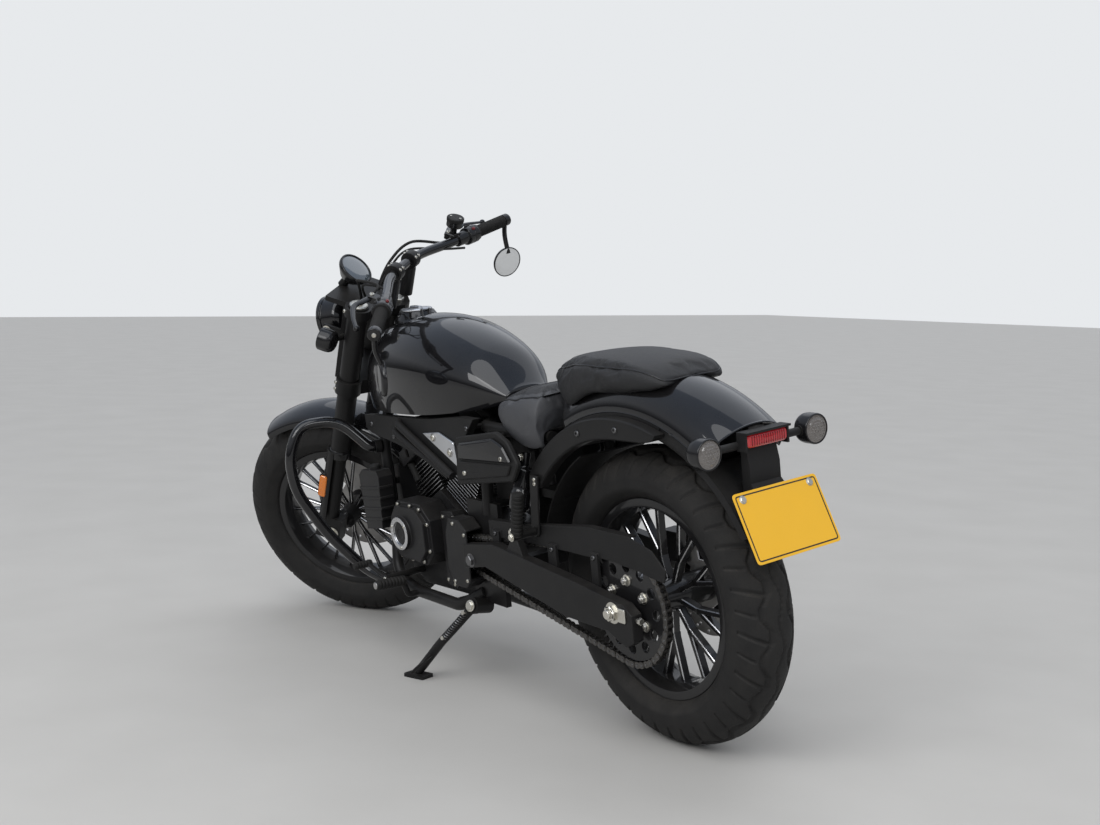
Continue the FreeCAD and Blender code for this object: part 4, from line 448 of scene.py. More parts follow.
def grid_faces(rows, columns, close_rows=False):
    """Quads of a grid of points whose rows are closed loops; closing joins the last row to the first."""
    row, column = np.meshgrid(np.arange(rows if close_rows else rows - 1), np.arange(columns), indexing="ij")
    below = (row + 1) % rows
    beside = (column + 1) % columns
    return np.stack([row * columns + column, below * columns + column, below * columns + beside,
                     row * columns + beside], axis=-1).reshape(-1, 4)


def capped(grid):
    """A grid of closed rows with both ends drawn together in a point at the mean of the end row."""
    first = np.repeat(grid[:1].mean(axis=1, keepdims=True), grid.shape[1], axis=1)
    last = np.repeat(grid[-1:].mean(axis=1, keepdims=True), grid.shape[1], axis=1)
    return np.concatenate([first, grid, last])


def solid_of(grid, close_rows=False):
    """Points and faces of a closed solid from rows that are closed loops."""
    if not close_rows:
        grid = capped(grid)
    return grid.reshape(-1, 3), grid_faces(grid.shape[0], grid.shape[1], close_rows)


def side_axes(direction):
    """Two unit vectors square to a direction, the first level unless the direction is nearly upright."""
    direction = unit(direction)
    up = AHEAD if abs(direction[2]) > 0.97 else UP
    across = unit(np.cross(up, direction))
    return across, np.cross(direction, across)


def lathe(profile, base, direction, segments, ring=False, start=0.0):
    """Profile of (radius, height) turned about an axis: base + height * axis + radius * (cos t, sin t)."""
    profile = floats(profile)
    across, aside = side_axes(direction)
    turn = start + np.linspace(0, 2 * math.pi, segments, endpoint=False)
    circle = np.cos(turn)[:, None] * across + np.sin(turn)[:, None] * aside
    grid = (floats(base) + profile[:, 1][:, None, None] * unit(direction)
            + profile[:, 0][:, None, None] * circle)
    return solid_of(grid, ring)


def smooth_path(points, count):
    """Points evenly spaced on a Catmull-Rom curve: each span is a cubic through its four neighbours."""
    points = floats(points)
    padded = np.concatenate([2 * points[:1] - points[1:2], points, 2 * points[-1:] - points[-2:-1]])
    place = np.linspace(0, len(points) - 1 - 1e-9, count)
    span = place.astype(int)
    t = (place - span)[:, None]
    a, b, c, d = (padded[span + shift] for shift in range(4))
    return 0.5 * (2 * b + (c - a) * t + (2 * a - 5 * b + 4 * c - d) * t ** 2
                  + (3 * b - a - 3 * c + d) * t ** 3)


def section_along(path, section, up=UP, closed=False, scale=None):
    """A closed section of (across, upward) offsets carried along a path, square to it."""
    path = floats(path)
    section = floats(section)
    if closed:
        along = unit(np.roll(path, -1, axis=0) - np.roll(path, 1, axis=0))
    else:
        along = unit(np.gradient(path, axis=0))
    across = unit(np.cross(floats(up), along))
    above = np.cross(along, across)
    size = np.ones(len(path)) if scale is None else floats(scale)
    grid = (path[:, None, :] + size[:, None, None] * (section[None, :, 0, None] * across[:, None, :]
                                                      + section[None, :, 1, None] * above[:, None, :]))
    return solid_of(grid, closed)


def round_section(radius, count, flat=1.0):
    """A circle, flattened upwards by a share."""
    turn = np.linspace(0, 2 * math.pi, count, endpoint=False)
    return np.stack([radius * np.cos(turn), radius * flat * np.sin(turn)], axis=-1)


def hose(points, radius, count, sides=12, up=UP):
    """A round hose along a smooth curve through points."""
    return section_along(smooth_path(points, count), round_section(radius, sides), up)


def corner_arcs(before, corners, after, radius, steps):
    """Corners as quadratic curves from side to side: (1-t)^2 start + 2t(1-t) corner + t^2 end."""
    before = before - corners
    after = after - corners
    shortest = np.minimum(np.linalg.norm(before, axis=1), np.linalg.norm(after, axis=1))
    reach = np.minimum(radius, 0.45 * shortest)[:, None]
    start = corners + unit(before) * reach
    end = corners + unit(after) * reach
    t = np.linspace(0, 1, steps)[None, :, None]
    arcs = (1 - t) ** 2 * start[:, None] + 2 * t * (1 - t) * corners[:, None] + t ** 2 * end[:, None]
    return arcs.reshape(-1, corners.shape[1])


def rounded_outline(corners, radius, steps=5):
    """A polygon whose corners become arcs."""
    corners = floats(corners)
    return corner_arcs(np.roll(corners, 1, axis=0), corners, np.roll(corners, -1, axis=0), radius, steps)


def rounded_profile(profile, radius, steps=4):
    """An open line of (radius, height) or other corners whose inner corners become arcs."""
    profile = floats(profile)
    inner = corner_arcs(profile[:-2], profile[1:-1], profile[2:], radius, steps)
    return np.concatenate([profile[:1], inner, profile[-1:]])


def oblong(half_width, half_height, radius, steps=5):
    """A rectangle about the middle whose corners become arcs."""
    return rounded_outline([(-half_width, -half_height), (half_width, -half_height),
                            (half_width, half_height), (-half_width, half_height)], radius, steps)


def inset(outline, amount):
    """A closed flat outline moved inwards by an amount, along the mean of its edges' normals."""
    edge = np.roll(outline, -1, axis=0) - np.roll(outline, 1, axis=0)
    normal = unit(np.stack([-edge[:, 1], edge[:, 0]], axis=-1))
    x, y = outline[:, 0], outline[:, 1]
    area = np.sum(x * np.roll(y, -1) - np.roll(x, -1) * y)
    return outline + normal * amount * (1 if area > 0 else -1)


def slab(outline, low, high, bevel, origin, first, second, out, crown=0.0):
    """A flat outline given thickness between two heights, with bevelled edges and perhaps a crowned face."""
    small = inset(outline, bevel)
    middle = outline.mean(axis=0)
    loops = [(small, low), (outline, low + bevel), (outline, high - bevel), (small, high)]
    if crown:
        loops += [(middle + (small - middle) * share, high + crown * (1 - share ** 2))
                  for share in (0.8, 0.5, 0.2)]
    grid = np.stack([floats(origin) + loop[:, :1] * floats(first) + loop[:, 1:] * floats(second)
                     + level * floats(out) for loop, level in loops])
    return solid_of(grid)


def side_slab(corners, low, high, bevel, radius, crown=0.0):
    """A slab whose outline lies in the side plane, given as X and Z corners, from Y low to Y high."""
    outline = rounded_outline(corners, radius)
    return slab(outline, low, high, bevel, (0, 0, 0), AHEAD, UP, LEFT, crown)


def ball_slab(width, depth, height, base, first, second, out, power, rows, columns):
    """A rounded button: a superellipse outline whose size falls as the cosine of its height."""
    turn = np.linspace(0, 2 * math.pi, columns, endpoint=False)
    share = 2 / power
    outline = np.stack([width / 2 * np.sign(np.cos(turn)) * np.abs(np.cos(turn)) ** share,
                        depth / 2 * np.sign(np.sin(turn)) * np.abs(np.sin(turn)) ** share], axis=-1)
    rise = np.linspace(0, math.pi / 2, rows)
    size = np.cos(rise) ** 0.35
    level = height * np.sin(rise)
    size[-1] = 0.02
    grid = (floats(base) + (outline[None] * size[:, None, None]) @ floats([first, second])
            + level[:, None, None] * floats(out))
    return solid_of(grid)


def moved(shape, matrix, shift):
    """A shape turned by a matrix and shifted."""
    points, faces = shape
    return points @ floats(matrix).T + floats(shift), faces


def copies(shape, matrices, shifts):
    """A shape repeated: one turned and shifted copy for each matrix and shift."""
    points, faces = shape
    placed = np.einsum("kij,nj->kni", matrices, points) + floats(shifts)[:, None, :]
    numbers = faces[None] + (np.arange(len(placed)) * len(points))[:, None, None]
    return placed.reshape(-1, 3), numbers.reshape(-1, faces.shape[1])


def turned_about_y(angles):
    """Rotation matrices about Y: x' = x cos a + z sin a and z' = z cos a - x sin a."""
    angles = floats(angles)
    zero = np.zeros_like(angles)
    rows = [[np.cos(angles), zero, np.sin(angles)], [zero, zero + 1, zero],
            [-np.sin(angles), zero, np.cos(angles)]]
    return np.moveaxis(np.array(rows), -1, 0)


def mirrored(shape):
    """The same shape on the other side of the middle, with its faces turned back outwards."""
    points, faces = shape
    return points * [1, -1, 1], faces[:, ::-1]


def both(shape):
    """A shape and its mirror image."""
    return [shape, mirrored(shape)]


def dressed(shapes, finish):
    """Every shape of a list with one finish."""
    return [(shape, finish) for shape in shapes]


def pair(shape, finish):
    """A shape and its mirror image with one finish."""
    return dressed(both(shape), finish)


def dome_bolt(place, direction, radius, height):
    """A round-headed bolt: a low dome with a socket drawn as a step inwards."""
    profile = [(0, -1), (radius, -1), (radius, height * 0.45), (radius * 0.86, height * 0.85),
               (radius * 0.6, height), (radius * 0.5, height), (radius * 0.46, height * 0.35),
               (0, height * 0.3)]
    return lathe(profile, place, direction, 18)


def hex_bolt(place, direction, radius, height, washer=True):
    """A hexagon head with chamfered corners on a washer."""
    profile = [(0, -1), (radius, -1), (radius, height * 0.8), (radius * 0.87, height), (0, height)]
    head = lathe(profile, place, direction, 6, start=0.3)
    if not washer:
        return [head]
    disc = lathe([(0, -1.2), (radius * 1.3, -1.2), (radius * 1.3, 0.6), (radius * 1.15, 1.0), (0, 1.0)],
                 place, direction, 24)
    return [disc, head]


# Making pieces


def write_smooth(shape, mesh, crease):
    """Write a shape to a mesh with smooth faces, and with edges sharper than the crease angle marked."""
    limit = math.radians(crease)
    for edge in shape.edges:
        edge.smooth = len(edge.link_faces) == 2 and edge.calc_face_angle(0) < limit
    for face in shape.faces:
        face.smooth = True
    shape.to_mesh(mesh)
    shape.free()


# Points nearer than these, in metres, become one
CAD_MERGE = 0.000002
SHAPE_MERGE = 0.000004


def finish_mesh(mesh, crease):
    """Merge doubles, turn faces outwards and mark the sharp edges."""
    shape = bmesh.new()
    shape.from_mesh(mesh)
    bmesh.ops.remove_doubles(shape, verts=shape.verts, dist=SHAPE_MERGE)
    bmesh.ops.dissolve_degenerate(shape, edges=shape.edges, dist=CAD_MERGE)
    bmesh.ops.recalc_face_normals(shape, faces=shape.faces)
    write_smooth(shape, mesh, crease)


def make_piece(name, body, shapes, replaces=(), place=on_bike, crease=34.0):
    """One object from (shape, finish) pairs, placed in the row frame and riding on a body."""
    points, faces, numbers, finishes = [], [], [], []
    count = 0
    for shape, finish in shapes:
        if finish not in finishes:
            finishes.append(finish)
        corners, quads = shape
        points.append(place(corners))
        faces += (quads + count).tolist()
        numbers += [finishes.index(finish)] * len(quads)
        count += len(corners)
    mesh = bpy.data.meshes.new(name)
    mesh.from_pydata(np.concatenate(points).tolist(), [], faces)
    mesh.polygons.foreach_set("material_index", numbers)
    for finish in finishes:
        mesh.materials.append(FINISH[finish])
    finish_mesh(mesh, crease)
    piece = in_scene(name, mesh)
    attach(piece, body)
    for node in replaces:
        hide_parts(node)
    return piece


def bake_modifiers(piece):
    """Replace a piece's mesh by the result of its modifiers."""
    bpy.context.view_layer.update()
    result = bpy.data.meshes.new_from_object(piece.evaluated_get(bpy.context.evaluated_depsgraph_get()))
    piece.modifiers.clear()
    piece.data = result


def add_bevel(piece, width):
    """Round the sharp edges of a piece by a width in millimetres."""
    modifier = piece.modifiers.new("edges", "BEVEL")
    modifier.width = width / 1000
    modifier.segments = 2
    modifier.limit_method = "ANGLE"
    modifier.angle_limit = math.radians(38)


def merged(node):
    """A shape of a CAD node in row metres, its doubled points merged."""
    source = frame["nodes"][node]
    shape = bmesh.new()
    shape.from_mesh(source.data)
    shape.transform(source.matrix_world)
    bmesh.ops.remove_doubles(shape, verts=shape.verts, dist=CAD_MERGE)
    return shape


def values_of(items, label):
    """A vector that each point or face of a mesh holds, as rows."""
    values = np.empty(len(items) * 3)
    items.foreach_get(label, values)
    return values.reshape(-1, 3)


def millimetres(points, matrix):
    """Rows of row metres as millimetres of the bike frame or the fork frame."""
    return (points - matrix[:, 3]) @ matrix[:, :3] * 1000


CAD_CREASE = 32.0


def smooth_copy(node, finish, bevel, faces_of=()):
    """A merged copy of a CAD node that shades smoothly except over edges sharper than the crease angle.

    faces_of gives a second finish and a test of face centres and normals in the bike or fork frame."""
    shape = merged(node)
    bmesh.ops.dissolve_limit(shape, angle_limit=math.radians(0.4), verts=shape.verts, edges=shape.edges)
    mesh = bpy.data.meshes.new(node + "_surface")
    write_smooth(shape, mesh, CAD_CREASE)
    mesh.materials.append(FINISH[finish])
    for number, (second, matrix, test) in enumerate(faces_of):
        mesh.materials.append(FINISH[second])
        local = millimetres(values_of(mesh.polygons, "center"), matrix)
        chosen = test(local, values_of(mesh.polygons, "normal") @ matrix[:, :3])
        index = np.empty(len(mesh.polygons), dtype=np.int32)
        mesh.polygons.foreach_get("material_index", index)
        index[chosen] = number + 1
        mesh.polygons.foreach_set("material_index", index)
    piece = in_scene(node + "_surface", mesh)
    add_bevel(piece, bevel)
    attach(piece, BODY_OF[node])
    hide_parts(node)
    return piece


# Tyres, wheels and chain


def eased(value):
    """Zero below nought, one above one, and the cubic 3v^2 - 2v^3 between."""
    value = np.clip(value, 0, 1)
    return value * value * (3 - 2 * value)


def about_axle(centre, reach, aim, across):
    """Points at a radius and an angle about an axle: X by the cosine, Z by the sine, and Y across."""
    return np.stack([centre[0] + reach * np.cos(aim), across, centre[2] + reach * np.sin(aim)], axis=-1)


def tread_depth(across, turn, radius, repeats):
    """Depth of grooves: a stepped zigzag each side of the middle, a fine one between, and shoulder cuts."""
    phase = turn * repeats / (2 * math.pi)
    pitch = 2 * math.pi * radius / repeats
    side = np.abs(across)
    shifted = phase + 0.25 * np.sign(across)
    wave = np.clip(1.9 * (4 * np.abs(shifted % 1 - 0.5) - 1), -1, 1)
    main = 1 - eased((np.abs(side - 33 - 9 * wave) - 2.6) / 2.6)
    fine = 1 - eased((np.abs(across - 7 * (4 * np.abs(phase % 1 - 0.5) - 1)) - 1.2) / 2.4)
    cut = 1 - eased((np.abs((shifted + (side - 60) / 240) % 1 - 0.5) * pitch - 3.2) / 2.8)
    cut *= eased((side - 24) / 3) * (1 - eased((side - 90) / 5))
    notch = 1 - eased((np.abs((shifted + 0.5 + (side - 60) / 240) % 1 - 0.5) * pitch - 2.2) / 2.6)
    notch *= eased((side - 52) / 3) * (1 - eased((side - 90) / 5))
    return 5.4 * np.maximum(np.maximum(main, 0.6 * fine), np.maximum(cut, notch))


def tyre_section(radius, half_width, rim_half_width, columns):
    """Round tread from shoulder to shoulder, and a sidewall that draws in to the bead on each side."""
    ring = radius - half_width
    turn = np.radians(np.linspace(-80, 80, columns))
    tread = np.stack([half_width * np.sin(turn), ring + half_width * np.cos(turn)], axis=-1)
    bead = rim_half_width - 0.3
    wall = smooth_path([tread[-1], (half_width * 0.985, ring + 2), (half_width * 0.93, ring - 12),
                        (bead + (half_width - bead) * 0.42, 223), (bead + 3, 217.5), (bead, 212),
                        (bead, 203.4)], 19)[1:]
    # Two low rings round the sidewall
    wall[3:5, 0] += 0.9
    wall[9:11, 0] += 0.8
    left = wall[::-1] * [-1, 1]
    return np.concatenate([left, tread, wall]), len(left), half_width * turn


def add_tyre(name, node, body, sizes, centre, place, rows, repeats):
    """A tyre: its section turned about the axle, with the tread's grooves cut towards the axle."""
    radius, half_width, rim_half_width, columns = sizes
    section, first, across = tyre_section(radius, half_width, rim_half_width, columns)
    turn = np.linspace(0, 2 * math.pi, rows, endpoint=False)
    reach = np.repeat(section[None, :, 1], rows, axis=0)
    reach[:, first:first + columns] -= tread_depth(across[None, :], turn[:, None], radius, repeats)
    grid = about_axle(centre, reach, turn[:, None], np.repeat(section[None, :, 0], rows, axis=0))
    shape = grid.reshape(-1, 3), grid_faces(rows, len(section), close_rows=True)
    make_piece(name, body, [(shape, "tyre")], [node], place, crease=75)


# Points round a spoke's bar: four corners of five steps each
BAR_COLUMNS = 20


def rows_of(shape, columns, rows):
    """The part of a grid solid between some of its rows, with unused points left out."""
    faces = shape[1].reshape(-1, columns, 4)[rows].reshape(-1, 4)
    used, numbers = np.unique(faces, return_inverse=True)
    return shape[0][used], numbers.reshape(-1, 4)


def spoke_arms(half, depth, root, fork, spread, tip):
    """A stem and two arms, each a bevelled bar; together they make a spoke that forks towards the rim."""
    bars = [[(-half, root), (half, root), (half, fork + 8), (-half, fork + 8)]]
    for side in (1, -1):
        bars.append([(-half, fork), (half, fork), (side * spread + 0.8 * half, tip),
                     (side * spread - 0.8 * half, tip)])
    return [side_slab(bar, -depth / 2, depth / 2, bevel=1.7, radius=0.5) for bar in bars]


def add_wheel(node, body, place, centre, sizes, spoke, count, turn, hub, rivets):
    """A cast wheel: turned rim and hub, and forked spokes whose chamfered edges carry the bright machined
    finish as a painted highlight.
    """
    half_width, opening, seat = sizes
    flange_y = half_width + 5
    flange = seat + 14
    well = opening + 4
    rim = rounded_outline([(flange, -flange_y), (flange, -half_width), (seat, -half_width),
                           (seat, half_width), (flange, half_width), (flange, flange_y),
                           (well + 7, flange_y), (opening, half_width * 0.5), (opening, half_width * -0.5),
                           (well + 7, -flange_y)], 1.6, 4)
    shapes = [(lathe(rim, centre, LEFT, 144, ring=True), "wheel_paint"),
              (lathe(rounded_profile(hub, 2.5), centre, LEFT, 64), "wheel_paint")]
    angles = math.radians(turn) + np.arange(count) * 2 * math.pi / count
    shifts = np.repeat(floats([centre]), count, axis=0)
    for bar in spoke_arms(*spoke):
        # Painted highlight: the chamfer rows 1 and 3 of each spoke bar get the bright machined finish, the
        # other rows the wheel paint.
        for rows, finish in (([0, 2, 4], "wheel_paint"), ([1, 3], "machined")):
            shapes.append((copies(rows_of(bar, BAR_COLUMNS, rows), turned_about_y(angles), shifts), finish))
    shapes += rivets
    make_piece(node + "_casting", body, shapes, [node], place)


PITCH = 15.875
CHAIN_Y = 119.0
LINKS = 108
REAR_TEETH = 48
DRIVE_TEETH = 15
DRIVE_CENTRE = np.array([601.09, 0.0, 345.0])


def polar(length, angle):
    """A step in the side plane: length times (cos angle, 0, sin angle)."""
    return np.stack([length * np.cos(angle), 0 * angle, length * np.sin(angle)], axis=-1)


def chain_pins():
    """Places of pins: along the upper run, round the drive sprocket, back below and round the rear one."""
    rear = PITCH / 2 / math.sin(math.pi / REAR_TEETH)
    drive = PITCH / 2 / math.sin(math.pi / DRIVE_TEETH)
    axle = np.array(REAR_AXLE)
    across, rise = DRIVE_CENTRE[0] - axle[0], DRIVE_CENTRE[2] - axle[2]
    distance = math.hypot(across, rise)
    tilt = math.atan2(rise, across)
    slant = math.acos((rear - drive) / distance)
    run = math.sqrt(distance ** 2 - (rear - drive) ** 2)
    lengths = np.array([run, drive * 2 * slant, run, rear * (2 * math.pi - 2 * slant)])
    step = 2 * math.pi * rear / REAR_TEETH
    first = (tilt + slant - math.pi / 2) * rear % step
    along = (first + np.arange(LINKS) * step) % lengths.sum()
    starts = np.concatenate([[0], np.cumsum(lengths)[:-1]])
    part = np.searchsorted(starts, along, side="right") - 1
    rest = along - starts[part]
    high, low = tilt + slant, tilt - slant
    turn = np.full(LINKS, 1.0)
    upper = axle + polar(rear, turn * high) + polar(rest, turn * high - math.pi / 2)
    front = DRIVE_CENTRE + polar(drive, high - rest / drive)
    lower = DRIVE_CENTRE + polar(drive, turn * low) + polar(rest, turn * low - math.pi / 2)
    back = axle + polar(rear, low - rest / rear)
    places = np.stack([upper, front, lower, back])[part, np.arange(LINKS)]
    places[:, 1] = CHAIN_Y
    return places


def link_plate(height, low, high):
    """A link plate: two round ends joined by a waist, given a thickness across the chain."""
    turn = np.radians(np.linspace(75, 285, 7))
    left = np.stack([height * np.cos(turn), height * np.sin(turn)], axis=-1)
    right = np.stack([PITCH - left[:, 0], left[:, 1]], axis=-1)[::-1]
    waist = np.array([[PITCH / 2, -height * 0.74], [PITCH / 2, height * 0.74]])
    outline = np.concatenate([left, waist[:1], right, waist[1:]])
    grid = np.stack([np.concatenate([outline, np.full((len(outline), 1), level)], axis=1)
                     for level in (low, high)])
    return solid_of(grid)


def add_chain():
    """Outer and inner link plates in turn, with a roller and a pin at each joint."""
    pins = chain_pins()
    along = unit(np.roll(pins, -1, axis=0) - pins)
    zero = np.zeros(LINKS)
    frames = np.stack([along, np.stack([-along[:, 2], zero, along[:, 0]], axis=-1),
                       np.stack([zero, zero - 1, zero], axis=-1)], axis=-1)
    shapes = []
    for parity, levels in ((0, ((6.1, 7.9), (-7.9, -6.1))), (1, ((4.2, 5.9), (-5.9, -4.2)))):
        for low, high in levels:
            shapes.append((copies(link_plate(7.4, low, high), frames[parity::2], pins[parity::2]), "chain"))
    roller = lathe([(5.0, -4.2), (5.0, 4.2)], (0, 0, 0), UP, 10)
    pin = lathe([(2.6, -9.0), (3.0, -8.0), (3.0, 8.0), (2.6, 9.0)], (0, 0, 0), UP, 8)
    shapes.append((copies(roller, frames, pins), "chain"))
    shapes.append((copies(pin, frames, pins), "dark_steel"))
    make_piece("drive_chain", "chassis", shapes, ["chain"], crease=40)


# Radii of the bolt circles
DISC_BOLTS = 33
SPROCKET_NUTS = 59


def add_wheels():
    """Both tyres and castings, the driven sprocket's nuts, the discs and the chain."""
    add_tyre("rear_tyre_tread", "rear_tyre", "rear_wheel_set", (323, 75, 45, 58), REAR_AXLE, on_bike, 960,
             20)
    add_tyre("front_tyre_tread", "front_tyre", "front_wheel_set", (320, 65, 38, 46), FRONT_AXLE, on_fork,
             760, 22)
    caps = dressed(hex_bolt((0, -89, 323), (0, -1, 0), 15, 2), "zinc")
    add_wheel("rear_wheel", "rear_wheel_set", on_bike, REAR_AXLE, (45, 187, 203),
              (6.25, 20, 30, 84, 31, 189), 9, 16.6, [(36, -89), (36, 72), (68, 102), (68, 116)], caps)
    add_wheel("front_wheel", "front_wheel_set", on_fork, FRONT_AXLE, (38, 187, 203),
              (3.75, 13, 24, 66, 24, 189), 12, 12.7, [(38, -63.4), (30, -46), (30, 46), (22, 60)], [])
    smooth_copy("rear_sprocket", "wheel_paint", bevel=0.5)
    nuts = []
    for angle in np.arange(6) * math.pi / 3 + math.pi / 2:
        place = np.array(REAR_AXLE) + [SPROCKET_NUTS * math.cos(angle), 122.2,
                                       SPROCKET_NUTS * math.sin(angle)]
        nuts += dressed(hex_bolt(place, LEFT, 9.6, 9.2), "zinc")
        nuts.append((lathe([(4.6, 0), (4.6, 11), (3.8, 12)], place, LEFT, 12), "steel"))
    make_piece("sprocket_nuts", "rear_wheel_set", nuts)
    for node, place, centre, y, body in (("rear_disc", on_bike, REAR_AXLE, -94.0, "rear_wheel_set"),
                                         ("front_disc", on_fork, FRONT_AXLE, -68.4, "front_wheel_set")):
        smooth_copy(node, "steel", bevel=0.3)
        bolts = []
        for angle in np.arange(5) * 2 * math.pi / 5:
            spot = (centre[0] + DISC_BOLTS * math.sin(angle), y, centre[2] + DISC_BOLTS * math.cos(angle))
            bolts.append((dome_bolt(spot, (0, -1, 0), 6, 3.4), "zinc"))
        make_piece(node + "_bolts", body, bolts, place=place)
    add_chain()


# Tank, lid and fenders


def box_shape(low, high):
    """The eight corners and six faces of a box."""
    corners = np.array([(x, y, z) for x in (low[0], high[0]) for y in (low[1], high[1])
                        for z in (low[2], high[2])])
    faces = np.array([(0, 1, 3, 2), (4, 6, 7, 5), (0, 4, 5, 1), (2, 3, 7, 6), (0, 2, 6, 4), (1, 5, 7, 3)])
    return corners.astype(float), faces


def hollowed(piece, low, high):
    """Cut a box of the bike frame out of a piece's closed mesh."""
    corners, faces = box_shape(low, high)
    mesh = bpy.data.meshes.new("hollow")
    mesh.from_pydata(on_bike(corners).tolist(), [], faces.tolist())
    finish_mesh(mesh, 30)
    cutter = in_scene("hollow", mesh)
    modifier = piece.modifiers.new("hollow", "BOOLEAN")
    modifier.object = cutter
    modifier.operation = "DIFFERENCE"
    modifier.solver = "EXACT"
    bake_modifiers(piece)
    bpy.data.objects.remove(cutter)


# Columns: X, half width, underside, widest height, top
TANK_STATIONS = [(478, 62, 706, 722, 744), (575, 118, 690, 746, 838), (730, 150, 674, 762, 895),
                 (900, 150, 666, 764, 902), (1040, 118, 664, 746, 868), (1080, 84, 676, 716, 772)]


def tank_skin():
    """Sections carried through the stations: half an ellipse above the widest line, sides drawn in below it.

    Both ends close over a quarter of an ellipse, 14 mm deep behind and 10 mm in front."""
    rows = smooth_path(TANK_STATIONS, 92)
    ends = [(rows[0], -1, 14.0), (rows[-1], 1, 10.0)]
    rise = np.linspace(0, math.pi, 45)
    share = np.linspace(0, 1, 9)[1:]
    x, half, low, wide, top = rows.T[:, :, None]
    arch = np.stack([half * np.cos(rise), wide + (top - wide) * np.sin(rise)], axis=-1)
    fall = np.stack([-half * (1 - 0.08 * share ** 2), wide + (low - wide) * share], axis=-1)
    floor = np.stack([-half * 0.92 * np.linspace(0.9, -0.9, 9), low + 0 * np.linspace(0, 1, 9)], axis=-1)
    back = fall[:, ::-1] * [-1, 1]
    loops = np.concatenate([arch, fall, floor, back], axis=1)
    skin = np.concatenate([np.repeat(x[:, :, None], loops.shape[1], axis=1), loops], axis=-1)
    caps = []
    for row, side, depth in ends:
        loop = skin[0] if side < 0 else skin[-1]
        middle = loop.mean(axis=0)
        turn = np.linspace(0, math.pi / 2, 7)[1:]
        cap = middle + (loop - middle) * np.cos(turn)[:, None, None]
        cap[:, :, 0] = row[0] + side * depth * 0.4 * np.sin(turn)[:, None]
        caps.append(cap[::-1] if side < 0 else cap)
    grid = np.concatenate([caps[0], skin, caps[1]])
    return grid.reshape(-1, 3), grid_faces(grid.shape[0], grid.shape[1])


FILLER = (955, 0, 909.3)
LID_PIN = (910, 0, 913.5)


def add_tank():
    """Tank skin hollowed for neck and backbone, the filler ring with the lid's ears and pin, and the lid."""
    piece = make_piece("fuel_tank_skin", "chassis", [(tank_skin(), "gloss_paint")],
                       ["fuel_tank"], crease=30)
    hollowed(piece, (1036, -72, 620), (1130, 72, 806))
    hollowed(piece, (440, -31, 620), (650, 31, 690))
    ring = rounded_profile([(60, -28), (60, -22), (47, -2.4), (46, -0.4), (43.5, -0.4), (43.5, -4),
                            (36, -4)], 2.5)
    shapes = [(lathe(ring, FILLER, UP, 72), "gloss_paint")]
    shapes += pair(side_slab([(903, 884), (912, 884), (912, 915.6), (903, 915.6)], 8.4, 12.9, 0.8, 3),
                   "dark_steel")
    shapes.append((lathe([(2.0, -13.5), (2.0, 13.5)], LID_PIN, LEFT, 14), "steel"))
    for angle in np.arange(6) * math.pi / 3 + 0.5:
        spot = (FILLER[0] + 52 * math.cos(angle), 52 * math.sin(angle), 900.4)
        shapes.append((dome_bolt(spot, (0.35 * math.cos(angle), 0.35 * math.sin(angle), 1), 3.4, 2.2),
                       "dark_steel"))
    make_piece("filler_ring", "chassis", shapes)
    lid = rounded_profile([(41, 0), (42, 1), (42, 4.2), (38.5, 6.6), (30, 7.4), (27, 6.6), (24, 7.2),
                           (6, 7.6)], 1.2)
    bar = slab(oblong(25, 6, 5.5, 6), 4.5, 12.0, 1.6, FILLER, AHEAD, LEFT, UP, 0.8)
    knuckle = lathe([(4.0, -8), (4.0, 8)], LID_PIN, LEFT, 20)
    web = box_shape((910, -7.8, 910.6), (919, 7.8, 916.2))
    keyhole = lathe([(5.2, 0), (5.2, 0.9), (4.6, 1.2)], (955, 0, 920.9), UP, 20)
    make_piece("fuel_lid_disc", "fuel_lid",
               [(lathe(lid, FILLER, UP, 72), "aluminium"), (bar, "aluminium"), (knuckle, "aluminium"),
                (web, "aluminium"), (keyhole, "dark_steel")], ["fuel_cap"])


def shell_loop(outer, wall):
    """A closed section: the outer line, then the same line moved inwards by the wall, back to the start."""
    along = unit(np.gradient(outer, axis=0))
    inner = outer + np.stack([along[:, 1], -along[:, 0]], axis=-1) * wall
    return np.concatenate([outer, inner[::-1]])


def arched_shell(loop, centre, start, end, rows):
    """A section of (across, radius) turned about an axle between two angles in degrees."""
    aim = np.radians(np.linspace(start, end, rows))[:, None]
    across, reach = np.repeat(loop[None], rows, axis=0).transpose(2, 0, 1)
    return solid_of(about_axle(centre, reach, aim, across))


BEAD_SIDES = 8
BEAD_STEPS = 70


def edge_bead(loop_point, centre, start, end, radius=2.6):
    """A thin rolled bead along one edge of an arched shell."""
    aim = np.radians(np.linspace(start, end, BEAD_STEPS))
    across, reach = loop_point
    path = about_axle(centre, reach, aim, np.full(BEAD_STEPS, across))
    return section_along(path, round_section(radius, BEAD_SIDES), LEFT)


def end_bead(outer, centre, angle, radius=2.6):
    """A rolled bead across the end of an arched shell."""
    aim = math.radians(angle)
    path = about_axle(centre, outer[:, 1], aim, outer[:, 0])
    return section_along(path, round_section(radius, BEAD_SIDES),
                         (math.cos(aim + 1.57), 0, math.sin(aim + 1.57)))


STRUT_OUTER = 401
STRUT_DEPTH = 47
STRUT_BOLT_RADIUS = 378
STRUT_BOLT_ANGLES = (72, 92)


def on_strut(angle, y):
    """The place of a strut's bolt at an angle in degrees about the rear axle."""
    return floats(REAR_AXLE) + polar(STRUT_BOLT_RADIUS, np.array([math.radians(angle)]))[0] + [0, y, 0]


